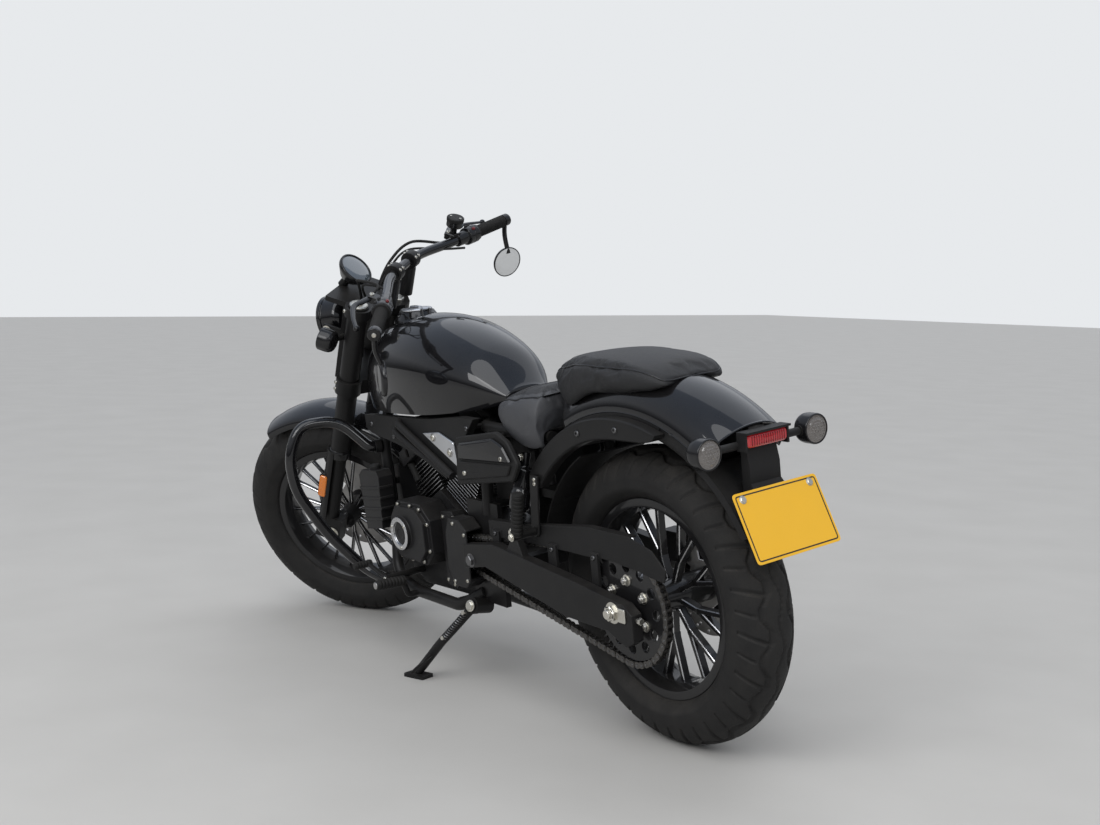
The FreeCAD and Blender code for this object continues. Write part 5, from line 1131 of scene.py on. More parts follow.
def add_struts():
    """Curved struts: a band inside the outer radius whose inner edge closes on it towards a rounded tail.

    Its depth falls as sqrt(1 - s^2.4), with s from 0 at 84 degrees to 1 at the tail."""
    rows = 90
    angle = np.linspace(38.5, 110, rows)
    tail = np.sqrt(np.clip(1 - ((angle - 84) / 26.2).clip(0, 1) ** 2.4, 0.0004, 1))
    low = STRUT_OUTER - STRUT_DEPTH * tail
    section = rounded_outline([(102.8, 0), (126, 0), (130, 0.09), (130, 0.91), (126, 1), (102.8, 1)], 2.0, 4)
    reach = low[:, None] + (STRUT_OUTER - low)[:, None] * section[None, :, 1]
    band = about_axle(REAR_AXLE, reach, np.radians(angle)[:, None],
                      np.repeat(section[None, :, 0], rows, axis=0))
    flange = rounded_outline([(99.5, 384), (105, 384), (105, 407.7), (99.5, 407.7)], 1.0, 3)
    shapes = pair(solid_of(band), "frame_paint") + pair(arched_shell(flange, REAR_AXLE, 62.5, 108, 44),
                                                        "frame_paint")
    ring = rounded_profile([(6.9, 0.2), (9.6, 0.2), (9.6, 1.6), (6.9, 1.6)], 0.5)
    for angle in STRUT_BOLT_ANGLES:
        shapes += pair(lathe(ring, on_strut(angle, 129.2), LEFT, 28, ring=True), "frame_paint")
    make_piece("fender_strut_bands", "chassis", shapes, ["fender_struts"])


def add_fenders():
    """Rear fender over half an ellipse with its liner and struts, and a flatter front one; rolled edges."""
    rise = np.linspace(0, math.pi, 41)
    outer = np.stack([104 * np.cos(rise), 408 + 82 * np.sin(rise)], axis=-1)[::-1]
    shapes = [(arched_shell(shell_loop(outer, 3.4), REAR_AXLE, 62, 126.5, 66), "gloss_paint"),
              (end_bead(outer * [0.985, 1] - [0, 1.5], REAR_AXLE, 126.3), "gloss_paint")]
    for side in (1, -1):
        shapes.append((edge_bead((side * 102.6, 409), REAR_AXLE, 62.2, 126.3), "gloss_paint"))
    make_piece("rear_fender_shell", "chassis", shapes, ["rear_fender"])
    lining = smooth_path([(-100.5, 408), (-98, 388), (-86, 373), (-44, 370), (0, 369), (44, 370), (86, 373),
                          (98, 388), (100.5, 408)], 33)
    make_piece("fender_liner", "chassis", [(arched_shell(shell_loop(lining, 2.4), REAR_AXLE, 58, 124, 50),
                                            "matt_plastic")])
    add_struts()
    corners = [(-74, 314), (-72.5, 324), (-66, 333.5), (-50, 341.5), (-26, 348), (0, 350), (26, 348),
               (50, 341.5), (66, 333.5), (72.5, 324), (74, 314)]
    outer = smooth_path(corners, 37)
    shapes = [(arched_shell(shell_loop(outer, 3.2), FRONT_AXLE, 38, 128, 76), "gloss_paint"),
              (end_bead(outer * [0.98, 1] - [0, 1.5], FRONT_AXLE, 38.2, 2.2), "gloss_paint"),
              (end_bead(outer * [0.98, 1] - [0, 1.5], FRONT_AXLE, 127.8, 2.2), "gloss_paint")]
    for side in (1, -1):
        shapes.append((edge_bead((side * 73, 315), FRONT_AXLE, 38.2, 127.8, 2.2), "gloss_paint"))
        stay = slab(rounded_outline([(46, 268), (79, 268), (79, 322), (46, 322)], 6), 0, 6.6, 1.4,
                    (0, side * 71, 0), AHEAD, UP, (0, side, 0))
        shapes.append((stay, "frame_paint"))
        for z in (282, 306):
            shapes.append((dome_bolt((62, side * 77.4, z), (0, side, 0), 5.5, 3.2), "zinc"))
    make_piece("front_fender_shell", "steering_set", shapes, ["front_fender"], on_fork)


# Covers and plates on the sides


def add_side_covers():
    """Angular covers: a matt skirt, a gloss upper facet and a matt lower facet with a groove between them."""
    skirt = [(554, 640), (381, 668), (337, 650), (300, 600), (326, 560), (566, 524)]
    upper = [(537, 628), (389, 653), (350, 640), (320, 603), (540, 590)]
    lower = [(541, 585), (324, 597), (339, 572), (549, 539)]
    shapes = []
    for corners, low, high, bevel, radius, crown, finish in (
            (skirt, 152, 165, 3.0, 9, 0, "matt_plastic"), (upper, 164, 172, 3.2, 7, 2.2, "gloss_plastic"),
            (lower, 164, 170, 2.6, 6, 1.0, "matt_plastic")):
        shapes += pair(side_slab(corners, low, high, bevel, radius, crown), finish)
    for x, z in ((486, 638), (438, 644)):
        shapes += pair(lathe([(7, 0), (7, 52)], (x, 104.4, z), LEFT, 20), "matt_plastic")
    for x, z in ((356, 610), (516, 560)):
        shapes += pair(dome_bolt((x, 171.0, z), LEFT, 6, 3.4), "zinc")
    make_piece("side_cover_panels", "chassis", shapes, ["side_covers"])


def add_frame_side():
    """Brushed plates with their two bolts, the bolts of the covers and struts, and the axle's nuts."""
    plate = side_slab([(745, 628), (668, 637), (604, 618), (594, 560)], 136.3, 142, 1.4, 5)
    shapes = pair(plate, "aluminium")
    for x, z in ((694, 622), (622, 592)):
        shapes += pair(dome_bolt((x, 141.6, z), LEFT, 8.5, 5.0), "zinc")
        shapes += pair(lathe([(11, 0), (11, 1.2), (10, 1.7)], (x, 141.6, z), LEFT, 24), "steel")
    make_piece("brushed_plate_pair", "chassis", shapes, ["frame_plates"])
    bolts = []
    for angle in STRUT_BOLT_ANGLES:
        bolts += both(dome_bolt(on_strut(angle, 128.6), LEFT, 6.8, 4.2))
    for x, z in ((1012, 628), (900, 604), (560, 560), (546, 656)):
        bolts += both(dome_bolt((x, 135.8, z), LEFT, 6, 3.4))
    disc, head = hex_bolt((540, 164.8, 345), LEFT, 13, 8)
    bolts += both(head) + both(disc)
    for x, z in ((240, 413), (88, 419), (464, 416)):
        bolts.append(dome_bolt((x, 137.6, z), LEFT, 5.5, 3.2))
    make_piece("frame_bolts", "chassis", dressed(bolts, "dark_steel"))
    nuts = []
    for side in (1, -1):
        nuts += hex_bolt((0, side * 165.4, 323), (0, side, 0), 17.6, 11.8)
        nuts.append(lathe([(10.3, 0), (10.3, 17.0), (9.2, 18.2)], (0, side * 165.4, 323), (0, side, 0), 24))
        nuts.append(slab(rounded_outline([(-44, -15), (-20, -15), (-20, 15), (-44, 15)], 4), 0, 4.2, 0.8,
                         (0, side * 165, 323), AHEAD, UP, (0, side, 0)))
        nuts.append(lathe([(5, 0), (5, 34)], (-76, side * 151, 315), AHEAD, 14))
        nuts.append(hex_bolt((-70, side * 151, 315), (-1, 0, 0), 8, 6, washer=False)[0])
    make_piece("axle_nuts", "chassis", dressed(nuts, "zinc"))


# Engine, exhaust, shocks and frame fittings


def carried_axes(path, up):
    """Unit tangents of a path and two axes square to it, carried along without twist."""
    along = unit(np.gradient(path, axis=0))
    across = np.empty_like(path)
    across[0] = unit(np.cross(floats(up), along[0]))
    for step in range(1, len(path)):
        across[step] = unit(across[step - 1] - (across[step - 1] @ along[step]) * along[step])
    return across, np.cross(along, across)


def tube_along(path, radius, sides, up):
    """A round tube whose section is carried along a path without twist; radius may change along it."""
    path = floats(path)
    across, above = carried_axes(path, up)
    turn = np.linspace(0, 2 * math.pi, sides, endpoint=False)
    reach = np.broadcast_to(floats(radius), (len(path),))[:, None, None]
    grid = path[:, None] + reach * (np.cos(turn)[:, None] * across[:, None]
                                    + np.sin(turn)[:, None] * above[:, None])
    return solid_of(grid)


def helix(line, axis, radius, turn):
    """Points of a line moved out by a radius square to its axis: across by the cosine, aside by the sine."""
    across, aside = side_axes(axis)
    return line + radius * np.cos(turn)[:, None] * across + radius * np.sin(turn)[:, None] * aside


def bent_run(corners, bend, steps):
    """A path along straight runs whose corners become arcs, drawn as quadratic curves."""
    return rounded_profile(corners, bend, steps)


CRANK = np.array([800.0, 0, 330.0])
BANK_TILT = math.radians(30)
COVER_X, COVER_Z = 874.0, 360.0


def add_engine():
    """Block, finned cylinders with bright fin edges, and covers with a machined ring and bolts."""
    smooth_copy("engine", "engine_paint", bevel=2.0)

    def fin_edge(local, normal):
        """Faces on the rims of the fins: along the cylinder between two heights, and on its outer planes."""
        away = local - CRANK
        chosen = np.zeros(len(local), dtype=bool)
        for side in (1, -1):
            lean, height = side * math.sin(BANK_TILT), math.cos(BANK_TILT)
            rise = away[:, 0] * lean + away[:, 2] * height
            aside = away[:, 0] * height - away[:, 2] * lean
            flat = np.abs(normal[:, 0] * lean + normal[:, 2] * height) < 0.2
            near = (rise > 118) & (rise < 238) & (away[:, 0] * side > 10)
            outer = (np.abs(np.abs(aside) - 62) < 0.6) | (np.abs(np.abs(away[:, 1]) - 62) < 0.6)
            chosen |= flat & near & outer
        return chosen

    smooth_copy("cylinders", "engine_paint", bevel=0.7, faces_of=[("machined", BIKE, fin_edge)])

    def ring_face(local, _):
        """Faces of the round cover's raised middle."""
        reach = np.hypot(local[:, 0] - COVER_X, local[:, 2] - COVER_Z)
        return (np.abs(local[:, 1]) > 162.5) & (reach < 43.6)

    smooth_copy("engine_covers", "engine_paint", bevel=2.4, faces_of=[("machined", BIKE, ring_face)])
    shapes = []
    for side in (1, -1):
        middle = np.array([COVER_X, side * 162.2, COVER_Z])
        rim = rounded_profile([(30.2, 0), (30.2, 5.4), (42.6, 5.8), (42.6, 0)], 1.0)
        shapes.append((lathe(rim, middle, (0, side, 0), 72, ring=True), "machined"))
        dish = rounded_profile([(29.8, 0.4), (27, 1.6), (14, 2.4), (12, 0.8)], 1.5)
        shapes.append((lathe(dish, middle, (0, side, 0), 48), "engine_paint"))
        for angle in np.arange(3) * 2 * math.pi / 3 + 0.4:
            spot = middle + [36.5 * math.cos(angle), side * 5.4, 36.5 * math.sin(angle)]
            shapes.append((dome_bolt(spot, (0, side, 0), 4.0, 2.4), "zinc"))
        for dx, dz in ((58, 34), (32, 69), (-30, 72), (-74, 68), (-108, 34), (-110, -34), (-76, -66),
                       (-20, -68), (34, -66), (57, -34)):
            shapes.append((lathe([(8, -3), (8, 2.2), (6.8, 3)], (COVER_X + dx, side * 141.4, COVER_Z + dz),
                                 (0, side, 0), 20), "engine_paint"))
            shapes.append((dome_bolt((COVER_X + dx, side * 144.2, COVER_Z + dz), (0, side, 0), 5.2, 4),
                           "zinc"))
        for x, z in ((740, 412), (690, 416), (687, 276), (712, 242), (742, 250)):
            shapes.append((dome_bolt((x, side * 111.6, z), (0, side, 0), 5, 3.6), "zinc"))
    for x, z in ((632, 418), (646, 272), (588, 282), (584, 396)):
        shapes.append((dome_bolt((x, 149.6, z), LEFT, 5, 3.6), "zinc"))
    shapes.append((hose([(760, 60, 600), (744, 96, 606), (716, 104, 592), (690, 88, 560)], 4.2, 30),
                   "rubber"))
    shapes.append((hose([(876, 60, 588), (894, 92, 592), (918, 96, 566), (930, 86, 540)], 4.2, 30),
                   "rubber"))
    for side in (1, -1):
        for bank in (1, -1):
            line = np.array([bank * 0.5, 0, 0.866])
            along = np.cross(line, [0, 1, 0])
            spot = CRANK + line * 286 + [0, side * 66.6, 0]
            plate = slab(oblong(40, 16, 9), 0, 3.2, 1.0, spot, along, line, (0, side, 0))
            shapes.append((plate, "machined" if bank > 0 else "engine_paint"))
            for reach in (-31, 31):
                place = spot + along * reach + [0, side * 3.2, 0]
                shapes.append((dome_bolt(place, (0, side, 0), 4.4, 3), "zinc"))
    make_piece("engine_fittings", "chassis", shapes)


CAN_START = np.array([425.0, -218, 216])
SHIELD_RADIUS = 52.5


def add_exhaust():
    """Two header pipes, the silencer with its bands, a heat shield and a bright end ring."""
    side = -76.3
    front, rear = (CRANK + np.array([lean, 0, 0.8660254]) * 262 for lean in (0.5, -0.5))
    first = bent_run([front + [0, side, 0], front + [0, side - 42, 0], (1000, -146, 430), (975, -148, 250),
                      (934, -148, 124), (600, -150, 118), (470, -218, 205), (420, -218, 216)], 80, 10)
    second = bent_run([rear + [0, side, 0], rear + [0, side - 46, 0], (645, -146, 440), (640, -150, 260),
                       (560, -172, 140)], 60, 10)
    axis = unit([-1, 0, 0.02])
    can = rounded_profile([(20, 0), (24, 8), (48, 70), (48, 450), (40, 484), (26, 500), (17.5, 500),
                           (17.5, 455)], 14)
    shapes = [(tube_along(first, 19, 24, (1, 0.9, 0.7)), "frame_paint"),
              (tube_along(second, 19, 24, (1, 0.9, 0.7)), "frame_paint"),
              (lathe(can, CAN_START, axis, 64), "frame_paint")]
    tip = rounded_profile([(17.4, 0), (25.5, 0), (27.5, -3), (27.5, -9), (17.4, -9)], 1.2)
    shapes.append((lathe(tip, CAN_START + axis * 501.5, axis, 48, ring=True), "steel"))
    for reach in (84, 436):
        band = rounded_profile([(48.2, -7), (49.6, -6), (49.6, 6), (48.2, 7)], 0.6)
        shapes.append((lathe(band, CAN_START + axis * reach, axis, 64, ring=True), "machined"))
    turn = np.linspace(-1.15, 1.15, 16)
    along = np.linspace(96, 424, 20)
    shield = shell_loop(SHIELD_RADIUS * np.stack([np.sin(turn), np.cos(turn)], axis=-1), 2.2)
    points = ((CAN_START + along[:, None] * axis)[:, None] - shield[None, :, 1, None] * np.array([0, 1, 0])
              + shield[None, :, 0, None] * np.array([0.02, 0, 1]))
    shapes.append((solid_of(points), "gloss_paint"))
    for x, z in ((980, 330), (640, 360)):
        shapes.append((lathe([(21, -8), (22.4, -7), (22.4, 7), (21, 8)], (x, -147.5, z), (0.1, 0, 1), 32,
                             ring=True), "machined"))
    for place in (front, rear):
        collar = rounded_profile([(19, 0), (31, 0), (31, 6), (19, 6)], 1.2)
        shapes.append((lathe(collar, place + [0, side, 0], (0, -1, 0), 40, ring=True), "steel"))
    make_piece("exhaust_pipes", "chassis", shapes, ["exhaust"])


SHOCK_LOW = np.array([353.0, 150, 440])
SHOCK_HIGH = np.array([346.0, 111, 606])
COIL_RADIUS = 16.5


def add_shocks():
    """Shrouded dampers: a turned profile with soft shoulders, and a bolt with washer at each end."""
    length = float(np.linalg.norm(SHOCK_HIGH - SHOCK_LOW))
    profile = rounded_profile([(11, -15), (11, 18), (15, 20), (15, 44), (23, 52), (24.5, 58), (24.5, 88),
                               (21, 98), (21, length - 28), (12, length - 24), (12, length + 9)], 6, 6)
    shapes = pair(lathe(profile, SHOCK_LOW, SHOCK_HIGH - SHOCK_LOW, 48), "gloss_paint")
    coil_turn = np.linspace(0, 2 * math.pi * 2.6, 70)
    axis = unit(SHOCK_HIGH - SHOCK_LOW)
    rise = 24 + 18 * coil_turn / coil_turn[-1]
    coil = helix(SHOCK_LOW + axis * rise[:, None], axis, COIL_RADIUS, coil_turn)
    shapes += pair(tube_along(coil, 2.6, 8, axis), "dark_steel")
    for place, out in ((SHOCK_LOW, 12), (SHOCK_HIGH, 13)):
        for part in hex_bolt(place + [0, out, 0], LEFT, 8.5, 6):
            shapes += pair(part, "zinc")
    make_piece("shock_dampers", "chassis", shapes, ["rear_shocks"], crease=40)


def add_front_of_frame():
    """Radiator slats and hoses, the bottle's cap, and the tubular guard with its clamps."""
    smooth_copy("radiator", "engine_paint", bevel=2.0)
    shapes = []
    slat = floats([(-60, -2.2), (60, -2.2), (60, 2.2), (-60, 2.2)])
    for z in np.linspace(332, 490, 20):
        base = (1042 + (z - 316) * 20 / 184, 0, z)
        shapes.append((slab(slat, -3, 1.6, 0.6, base, LEFT, (0.11, 0, 1), (1, 0, -0.11)), "dark_steel"))
    shapes.append((hose([(1036, 40, 500), (1010, 56, 520), (960, 60, 510), (930, 60, 470)], 11, 40, 16),
                   "rubber"))
    shapes.append((hose([(1024, -44, 330), (990, -62, 300), (950, -66, 280), (920, -70, 262)], 11, 40, 16),
                   "rubber"))
    cap = rounded_profile([(15, 0), (15, 12), (12, 15), (6, 16)], 2)
    shapes.append((lathe(cap, (1034, 129, 502), UP, 24), "matt_plastic"))
    make_piece("radiator_slats", "chassis", shapes)
    route = [(1047, 100.6, 560), (1054, 130, 562), (1098, 190, 640), (1126, 290, 640), (1130, 326, 560),
             (1126, 320, 470), (1110, 250, 340), (1068, 172, 234), (1000, 152, 214), (1000, 127.3, 214)]
    shapes = pair(tube_along(bent_run(route, 50, 9), 14.5, 24, (1, 0, 0.1)), "gloss_paint")
    for place, out in (((1047, 108, 560), (0.24, 1, 0.02)), ((1000, 136, 214), LEFT)):
        clamp = rounded_profile([(18, -8), (18, 8)], 1)
        shapes += pair(lathe(clamp, place, out, 32), "frame_paint")
        spot = np.array(place) + [19, 0, 0]
        shapes += pair(dome_bolt(spot - [1.5, 0, 0], AHEAD, 5, 3.6), "zinc")
    make_piece("engine_guard_tubes", "chassis", shapes, ["engine_guard"])


def peg_profile(length, radius, ribs):
    """A rubber sleeve: a turned line whose radius falls in narrow grooves between its ribs."""
    count = ribs * 6 + 1
    along = np.linspace(0, length, count)
    groove = np.abs((np.linspace(0, ribs, count) % 1) - 0.5)
    reach = radius - 1.6 * eased((0.22 - groove) / 0.14)
    ends = np.minimum(along, length - along)
    reach -= 2.2 * (1 - eased(ends / 3.5))
    return np.stack([reach, along], axis=-1)


SPRING_TURNS = 13


def add_foot_parts():
    """Footrests with ribbed rubbers, folded passenger rests, gear lever, brake pedal and stand spring."""
    shapes = []
    bracket = bent_run([(892, 127.3, 191), (892, 150, 191), (892, 162, 231)], 12, 6)
    shapes += pair(tube_along(bracket, 8, 16, AHEAD), "frame_paint")
    shapes += pair(lathe(peg_profile(84.6, 14, 9), (892, 156, 231), (0, 84, 6), 28), "rubber")
    shapes += pair(lathe(rounded_profile([(9, 0), (9, 3), (5, 4)], 1), (892, 239.4, 237), (0, 84, 6), 24),
                   "steel")
    arm = side_slab([(297, 574), (268, 574), (281, 440), (296, 431), (311, 437)], 133.4, 139.4, 1.6, 5)
    shapes += pair(arm, "frame_paint")
    shapes += pair(side_slab([(272, 554), (292, 554), (292, 572), (272, 572)], 130.4, 134, 0.6, 2),
                   "frame_paint")
    shapes += pair(lathe([(9, 0), (9, 64), (7.5, 66)], (297, 136, 446), LEFT, 24), "frame_paint")
    folded = np.array([272.0, 190, 546]) - [297, 188, 446]
    shapes += pair(lathe(peg_profile(103, 14, 11), (297, 188, 446), folded, 28), "rubber")
    shapes += pair(hex_bolt((297, 202, 446), LEFT, 7.5, 5)[0], "zinc")
    shapes += pair(hex_bolt((297, 201.4, 446), LEFT, 7.5, 5)[1], "zinc")
    for z in (556, 566):
        shapes += pair(dome_bolt((279, 139.2, z), LEFT, 4.6, 3), "zinc")
    make_piece("footrest_rubbers", "chassis", shapes, ["footrests"])
    shapes = []
    for side, out in ((1, 186), (-1, 190)):
        shapes.append((lathe([(9, 0), (9, out - 70.3), (7.6, out - 68.6)], (928, side * 76.3, 238),
                             (0, side, 0), 24), "frame_paint"))
        lever = smooth_path([(928, side * out, 238), (960, side * (out + 1), 244),
                             (1016, side * (out + 6), 264)], 24)
        shapes.append((section_along(lever, round_section(7.5, 12, 0.62), UP), "frame_paint"))
        shapes.append((lathe(peg_profile(52, 10, 6), (1016, side * (out - 4), 264), (0, side, 0), 24),
                       "rubber"))
        shapes.append((dome_bolt((928, side * (out + 6.4), 238), (0, side, 0), 5.5, 3.2), "zinc"))
    make_piece("lever_and_pedal", "chassis", shapes, ["foot_controls"])
    smooth_copy("side_stand", "frame_paint", bevel=0.8)
    pivot = np.array([588.0, 140, 218])
    axis = unit([-0.2, 0.95, 0.25])
    head = dressed(hex_bolt(pivot + axis * 13.6, axis, 11, 6), "zinc")
    make_piece("stand_bolt", "chassis", head)
    reach = np.array([725.0, 238, 40]) - pivot
    start = pivot + axis * 12 + unit(reach) * 24
    end = pivot + reach * 0.46 + axis * 12
    share = np.linspace(0, 1, 170)
    turn = share * 2 * math.pi * SPRING_TURNS
    coil = helix(start + (end - start) * share[:, None], end - start, 6, turn)
    shapes = [(tube_along(coil, 1.7, 6, unit(end - start)), "dark_steel")]
    for place in (start, end):
        shapes.append((lathe([(3.4, -12), (3.4, 6), (5, 7), (5, 9)], place, axis, 14), "zinc"))
    make_piece("stand_spring", "stand_leg", shapes, crease=50)


# Tail: lamp, indicators and plate


def lens_rings(radius, height, rings):
    """A lens profile: a low dome with shallow rings, from its edge to the middle."""
    reach = np.linspace(radius, 0.6, rings * 6 + 1)
    dome = height * (1 - (reach / radius) ** 2) + 0.5 * np.cos(np.linspace(0, rings * 2 * math.pi,
                                                                           len(reach)))
    return np.stack([np.concatenate([[radius], reach]), np.concatenate([[-4], dome])], axis=-1)


def lens_studs(centre, direction, radius, height, spacing, size):
    """Small low domes in a hexagonal pattern over a domed lens."""
    across, aside = side_axes(direction)
    row, column = np.meshgrid(np.arange(-8, 9), np.arange(-8, 9), indexing="ij")
    u = ((column + 0.5 * (row % 2)) * spacing).ravel()
    v = (row * spacing * 0.866).ravel()
    keep = np.hypot(u, v) < radius - size
    u, v = u[keep], v[keep]
    rise = height * (1 - (np.hypot(u, v) / radius) ** 2) - 0.3
    places = floats(centre) + u[:, None] * across + v[:, None] * aside + rise[:, None] * unit(direction)
    stud = lathe([(size, -0.6), (size * 0.8, 0.8), (size * 0.4, 1.4)], (0, 0, 0), direction, 8)
    return copies(stud, np.repeat(np.eye(3)[None], len(places), axis=0), places)


def indicator(centre, out):
    """A round lamp: a bowl with a rolled rim, and a smoked lens with rings and studs."""
    centre = floats(centre)
    out = unit(out)
    bowl = rounded_profile([(14, -22), (24, -21.4), (29.5, -14), (31, -4), (31, 16), (30, 18.5),
                            (27.5, 18.5), (27.5, 12)], 4)
    lens = lens_rings(27.2, 4.6, 3)
    return [(lathe(bowl, centre, out, 48), "gloss_plastic"),
            (lathe(lens, centre + out * 16.4, out, 48), "smoked_lens"),
            (lens_studs(centre + out * 16.9, out, 25, 4.6, 6.4, 1.7), "smoked_lens")]


def add_tail():
    """Ribbed tail lens and its carrier, indicators on stalks, and a blank plate with a border and bolts."""
    outline = oblong(52, 13, 9, 6)
    lens = slab(outline, 0, 19.0, 3.5, (-301, 0, 691), LEFT, UP, (-1, 0, 0), 1.6)
    shapes = [(lens, "red_lens")]
    for y in np.linspace(-42, 42, 15):
        rib = slab(oblong(0.9, 9.5, 0.8), 0, 0.6, 0.2, (-320.0 - 1.2 * (1 - (y / 52) ** 2), y, 691), LEFT,
                   UP, (-1, 0, 0))
        shapes.append((rib, "dark_red"))
    make_piece("tail_lens", "chassis", shapes, ["tail_light"])
    smooth_copy("tail_bracket", "matt_plastic", bevel=1.4)
    shapes = []
    for part, finish in indicator((-292, 141, 682), (-1, 0, 0)):
        shapes += pair(part, finish)
    stalk = lathe(rounded_profile([(10.5, 0), (10.5, 4), (7.5, 8), (7.5, 20), (9, 26)], 2),
                  (-292, 108.2, 682), LEFT, 28)
    shapes += pair(stalk, "rubber")
    make_piece("rear_indicator_lamps", "chassis", shapes, ["rear_indicators"])
    tilt = math.radians(25.8)
    up = (math.sin(tilt), 0, math.cos(tilt))
    out = (-math.cos(tilt), 0, math.sin(tilt))
    across = (0, -1, 0)
    centre = np.array([-356.0, 0, 538])
    shapes = []
    board = oblong(110, 70, 9, 7)
    shapes.append((slab(board, 0, 1.5, 0.4, centre, across, up, out), "plate_paint"))
    outer = oblong(105, 65, 7, 7)
    inner = inset(outer, 2.6)
    loops = [(outer, 1.3), (outer, 1.8), (inner, 1.8), (inner, 1.3)]
    grid = np.stack([centre + loop[:, :1] * np.array(across) + loop[:, 1:] * np.array(up)
                     + level * np.array(out) for loop, level in loops])
    shapes.append(((grid.reshape(-1, 3), grid_faces(4, len(outer), close_rows=True)), "plate_line"))
    for x in (-88, 88):
        spot = centre + x * np.array(across) + 56 * np.array(up)
        shapes.append((lathe([(3.4, -6), (3.4, 1.4)], spot, out, 12), "zinc"))
        shapes += dressed(hex_bolt(spot + 1.6 * np.array(out), out, 6.4, 3.6), "zinc")
    make_piece("blank_plate", "chassis", shapes, ["number_plate"])


# Steering: fork, lamps, gauge, bar and mirrors


def add_fork():
    """Fork legs with collars, cap bolts, seals and side reflectors; clamps with pinch bolts; axle nuts."""
    smooth_copy("fork", "frame_paint", bevel=0.8)
    smooth_copy("triple_clamps", "frame_paint", bevel=1.6)
    shapes = []
    for side in (1, -1):
        leg = np.array([62.0, side * 105, 0])
        collar = rounded_profile([(27.2, -14), (30.5, -13), (30.5, 8), (28, 12), (27.2, 12)], 1.5)
        shapes.append((lathe(collar, leg + [0, 0, 262], UP, 48), "gloss_plastic"))
        seal = rounded_profile([(20.7, -10), (25, -9), (26, -2), (25.4, 0), (20.7, 0)], 1.5)
        shapes.append((lathe(seal, leg + [0, 0, 250], UP, 40), "rubber"))
        cap = rounded_profile([(24, 0), (24, 3), (20, 5), (12, 5)], 1)
        shapes.append((lathe(cap, leg + [0, 0, 718], UP, 40), "zinc"))
        shapes.append((lathe([(11, 0), (11, 6), (9.6, 7)], leg + [0, 0, 722.6], UP, 6), "zinc"))
        for z in (466, 486, 701):
            shapes.append((dome_bolt(leg + [27, side * 22, z], (0.6, side * 0.8, 0), 5.2, 4), "zinc"))
        shapes += dressed(hex_bolt((FRONT_AXLE[0], side * 127, 0), (0, side, 0), 14, 7), "zinc")
        reflector = slab(oblong(11, 34, 7, 6), 0, 6.5, 1.8, (88, side * 131, 150), AHEAD, UP, (0, side, 0),
                         0.6)
        shapes.append((reflector, "amber"))
        surround = slab(oblong(13.5, 37, 8, 6), 0, 4, 1.2, (88, side * 129, 150), AHEAD, UP, (0, side, 0))
        shapes.append((surround, "matt_plastic"))
    nut = rounded_profile([(17, 0), (17, 8), (14, 10)], 1)
    shapes.append((lathe(nut, (0, 0, 713), UP, 6), "zinc"))
    make_piece("fork_fittings", "steering_set", shapes, place=on_fork)


def add_headlight():
    """Deep bowl with a rim, a clear domed lens over a reflector and a bulb, and its side bolts."""
    centre = np.array([142.0, 0, 612])
    forward = unit([0.892, 0, -0.452])
    bowl = rounded_profile([(12, -27), (34, -26), (50, -12), (58, 2), (58, 42), (61, 43), (61, 52),
                            (58.5, 54), (55.5, 54), (55.5, 46), (55, 40)], 5)
    reflector = [(54.5, 48), (52, 40), (44, 26), (30, 12), (14, 4), (8, 3)]
    shapes = [(lathe(bowl, centre, forward, 72), "gloss_paint"),
              (lathe(smooth_path(reflector, 20), centre, forward, 72), "chrome"),
              (lathe(lens_rings(55.0, 6.5, 4), centre + forward * 48.6, forward, 72), "clear_lens"),
              (lathe(rounded_profile([(7, 4), (7, 22), (4, 26)], 2), centre, forward, 20), "smoked_lens"),
              (lathe([(8, -79.7), (8, 79.7)], (152, 0, 606), LEFT, 20), "frame_paint")]
    rim = rounded_profile([(55.2, 50), (61.4, 50), (61.4, 54.6), (55.2, 54.6)], 1.6)
    shapes.append((lathe(rim, centre, forward, 72, ring=True), "gloss_plastic"))
    for side in (1, -1):
        shapes += dressed(hex_bolt((152, side * 87.8, 606), (0, side, 0), 9, 6), "zinc")
    make_piece("headlight_bowl", "steering_set", shapes, ["headlight"], on_fork)


def add_gauge():
    """Round instrument with a dark dial and ticks under a shallow glass dome, and the front indicators."""
    centre = np.array([150.0, 0, 724])
    up = unit([-0.5, 0, 0.866])
    across, aside = side_axes(up)
    bowl = rounded_profile([(10, 4), (24, 4), (44, 30), (48, 36), (48, 45), (45.5, 46.4), (43, 46.4),
                            (43, 41)], 4)
    shapes = [(lathe(bowl, centre, up, 64), "gloss_plastic"),
              (lathe([(43.4, 40.2), (43.0, 41.6), (20, 41.6)], centre, up, 48), "plate_line"),
              (lathe([(43.2, 41.8), (43.0, 43.4), (36, 45.2), (24, 46.4), (10, 47)], centre, up, 64),
               "dial_glass")]
    mark = slab(np.array([(33, -0.6), (39, -0.6), (39, 0.6), (33, 0.6)]), 41.4, 42.4, 0.15, (0, 0, 0),
                across, aside, up)
    turn = np.outer(across, across) + np.outer(aside, aside)
    cross = np.outer(aside, across) - np.outer(across, aside)
    for angle in np.radians(np.arange(-130, 131, 13)):
        matrix = math.cos(angle) * turn + math.sin(angle) * cross + np.outer(up, up)
        shapes.append((moved(mark, matrix, centre), "dial_marks"))
    make_piece("gauge_dial", "steering_set", shapes, ["gauge"], on_fork)
    shapes = []
    for part, finish in indicator((118, 150, 614), AHEAD):
        shapes += pair(part, finish)
    stalk = tube_along(bent_run([(101, 88.4, 606), (101, 100, 606), (118, 150, 614)], 10, 5), 8, 16, AHEAD)
    shapes += pair(stalk, "rubber")
    make_piece("front_indicator_lamps", "steering_set", shapes, ["front_indicators"], on_fork)


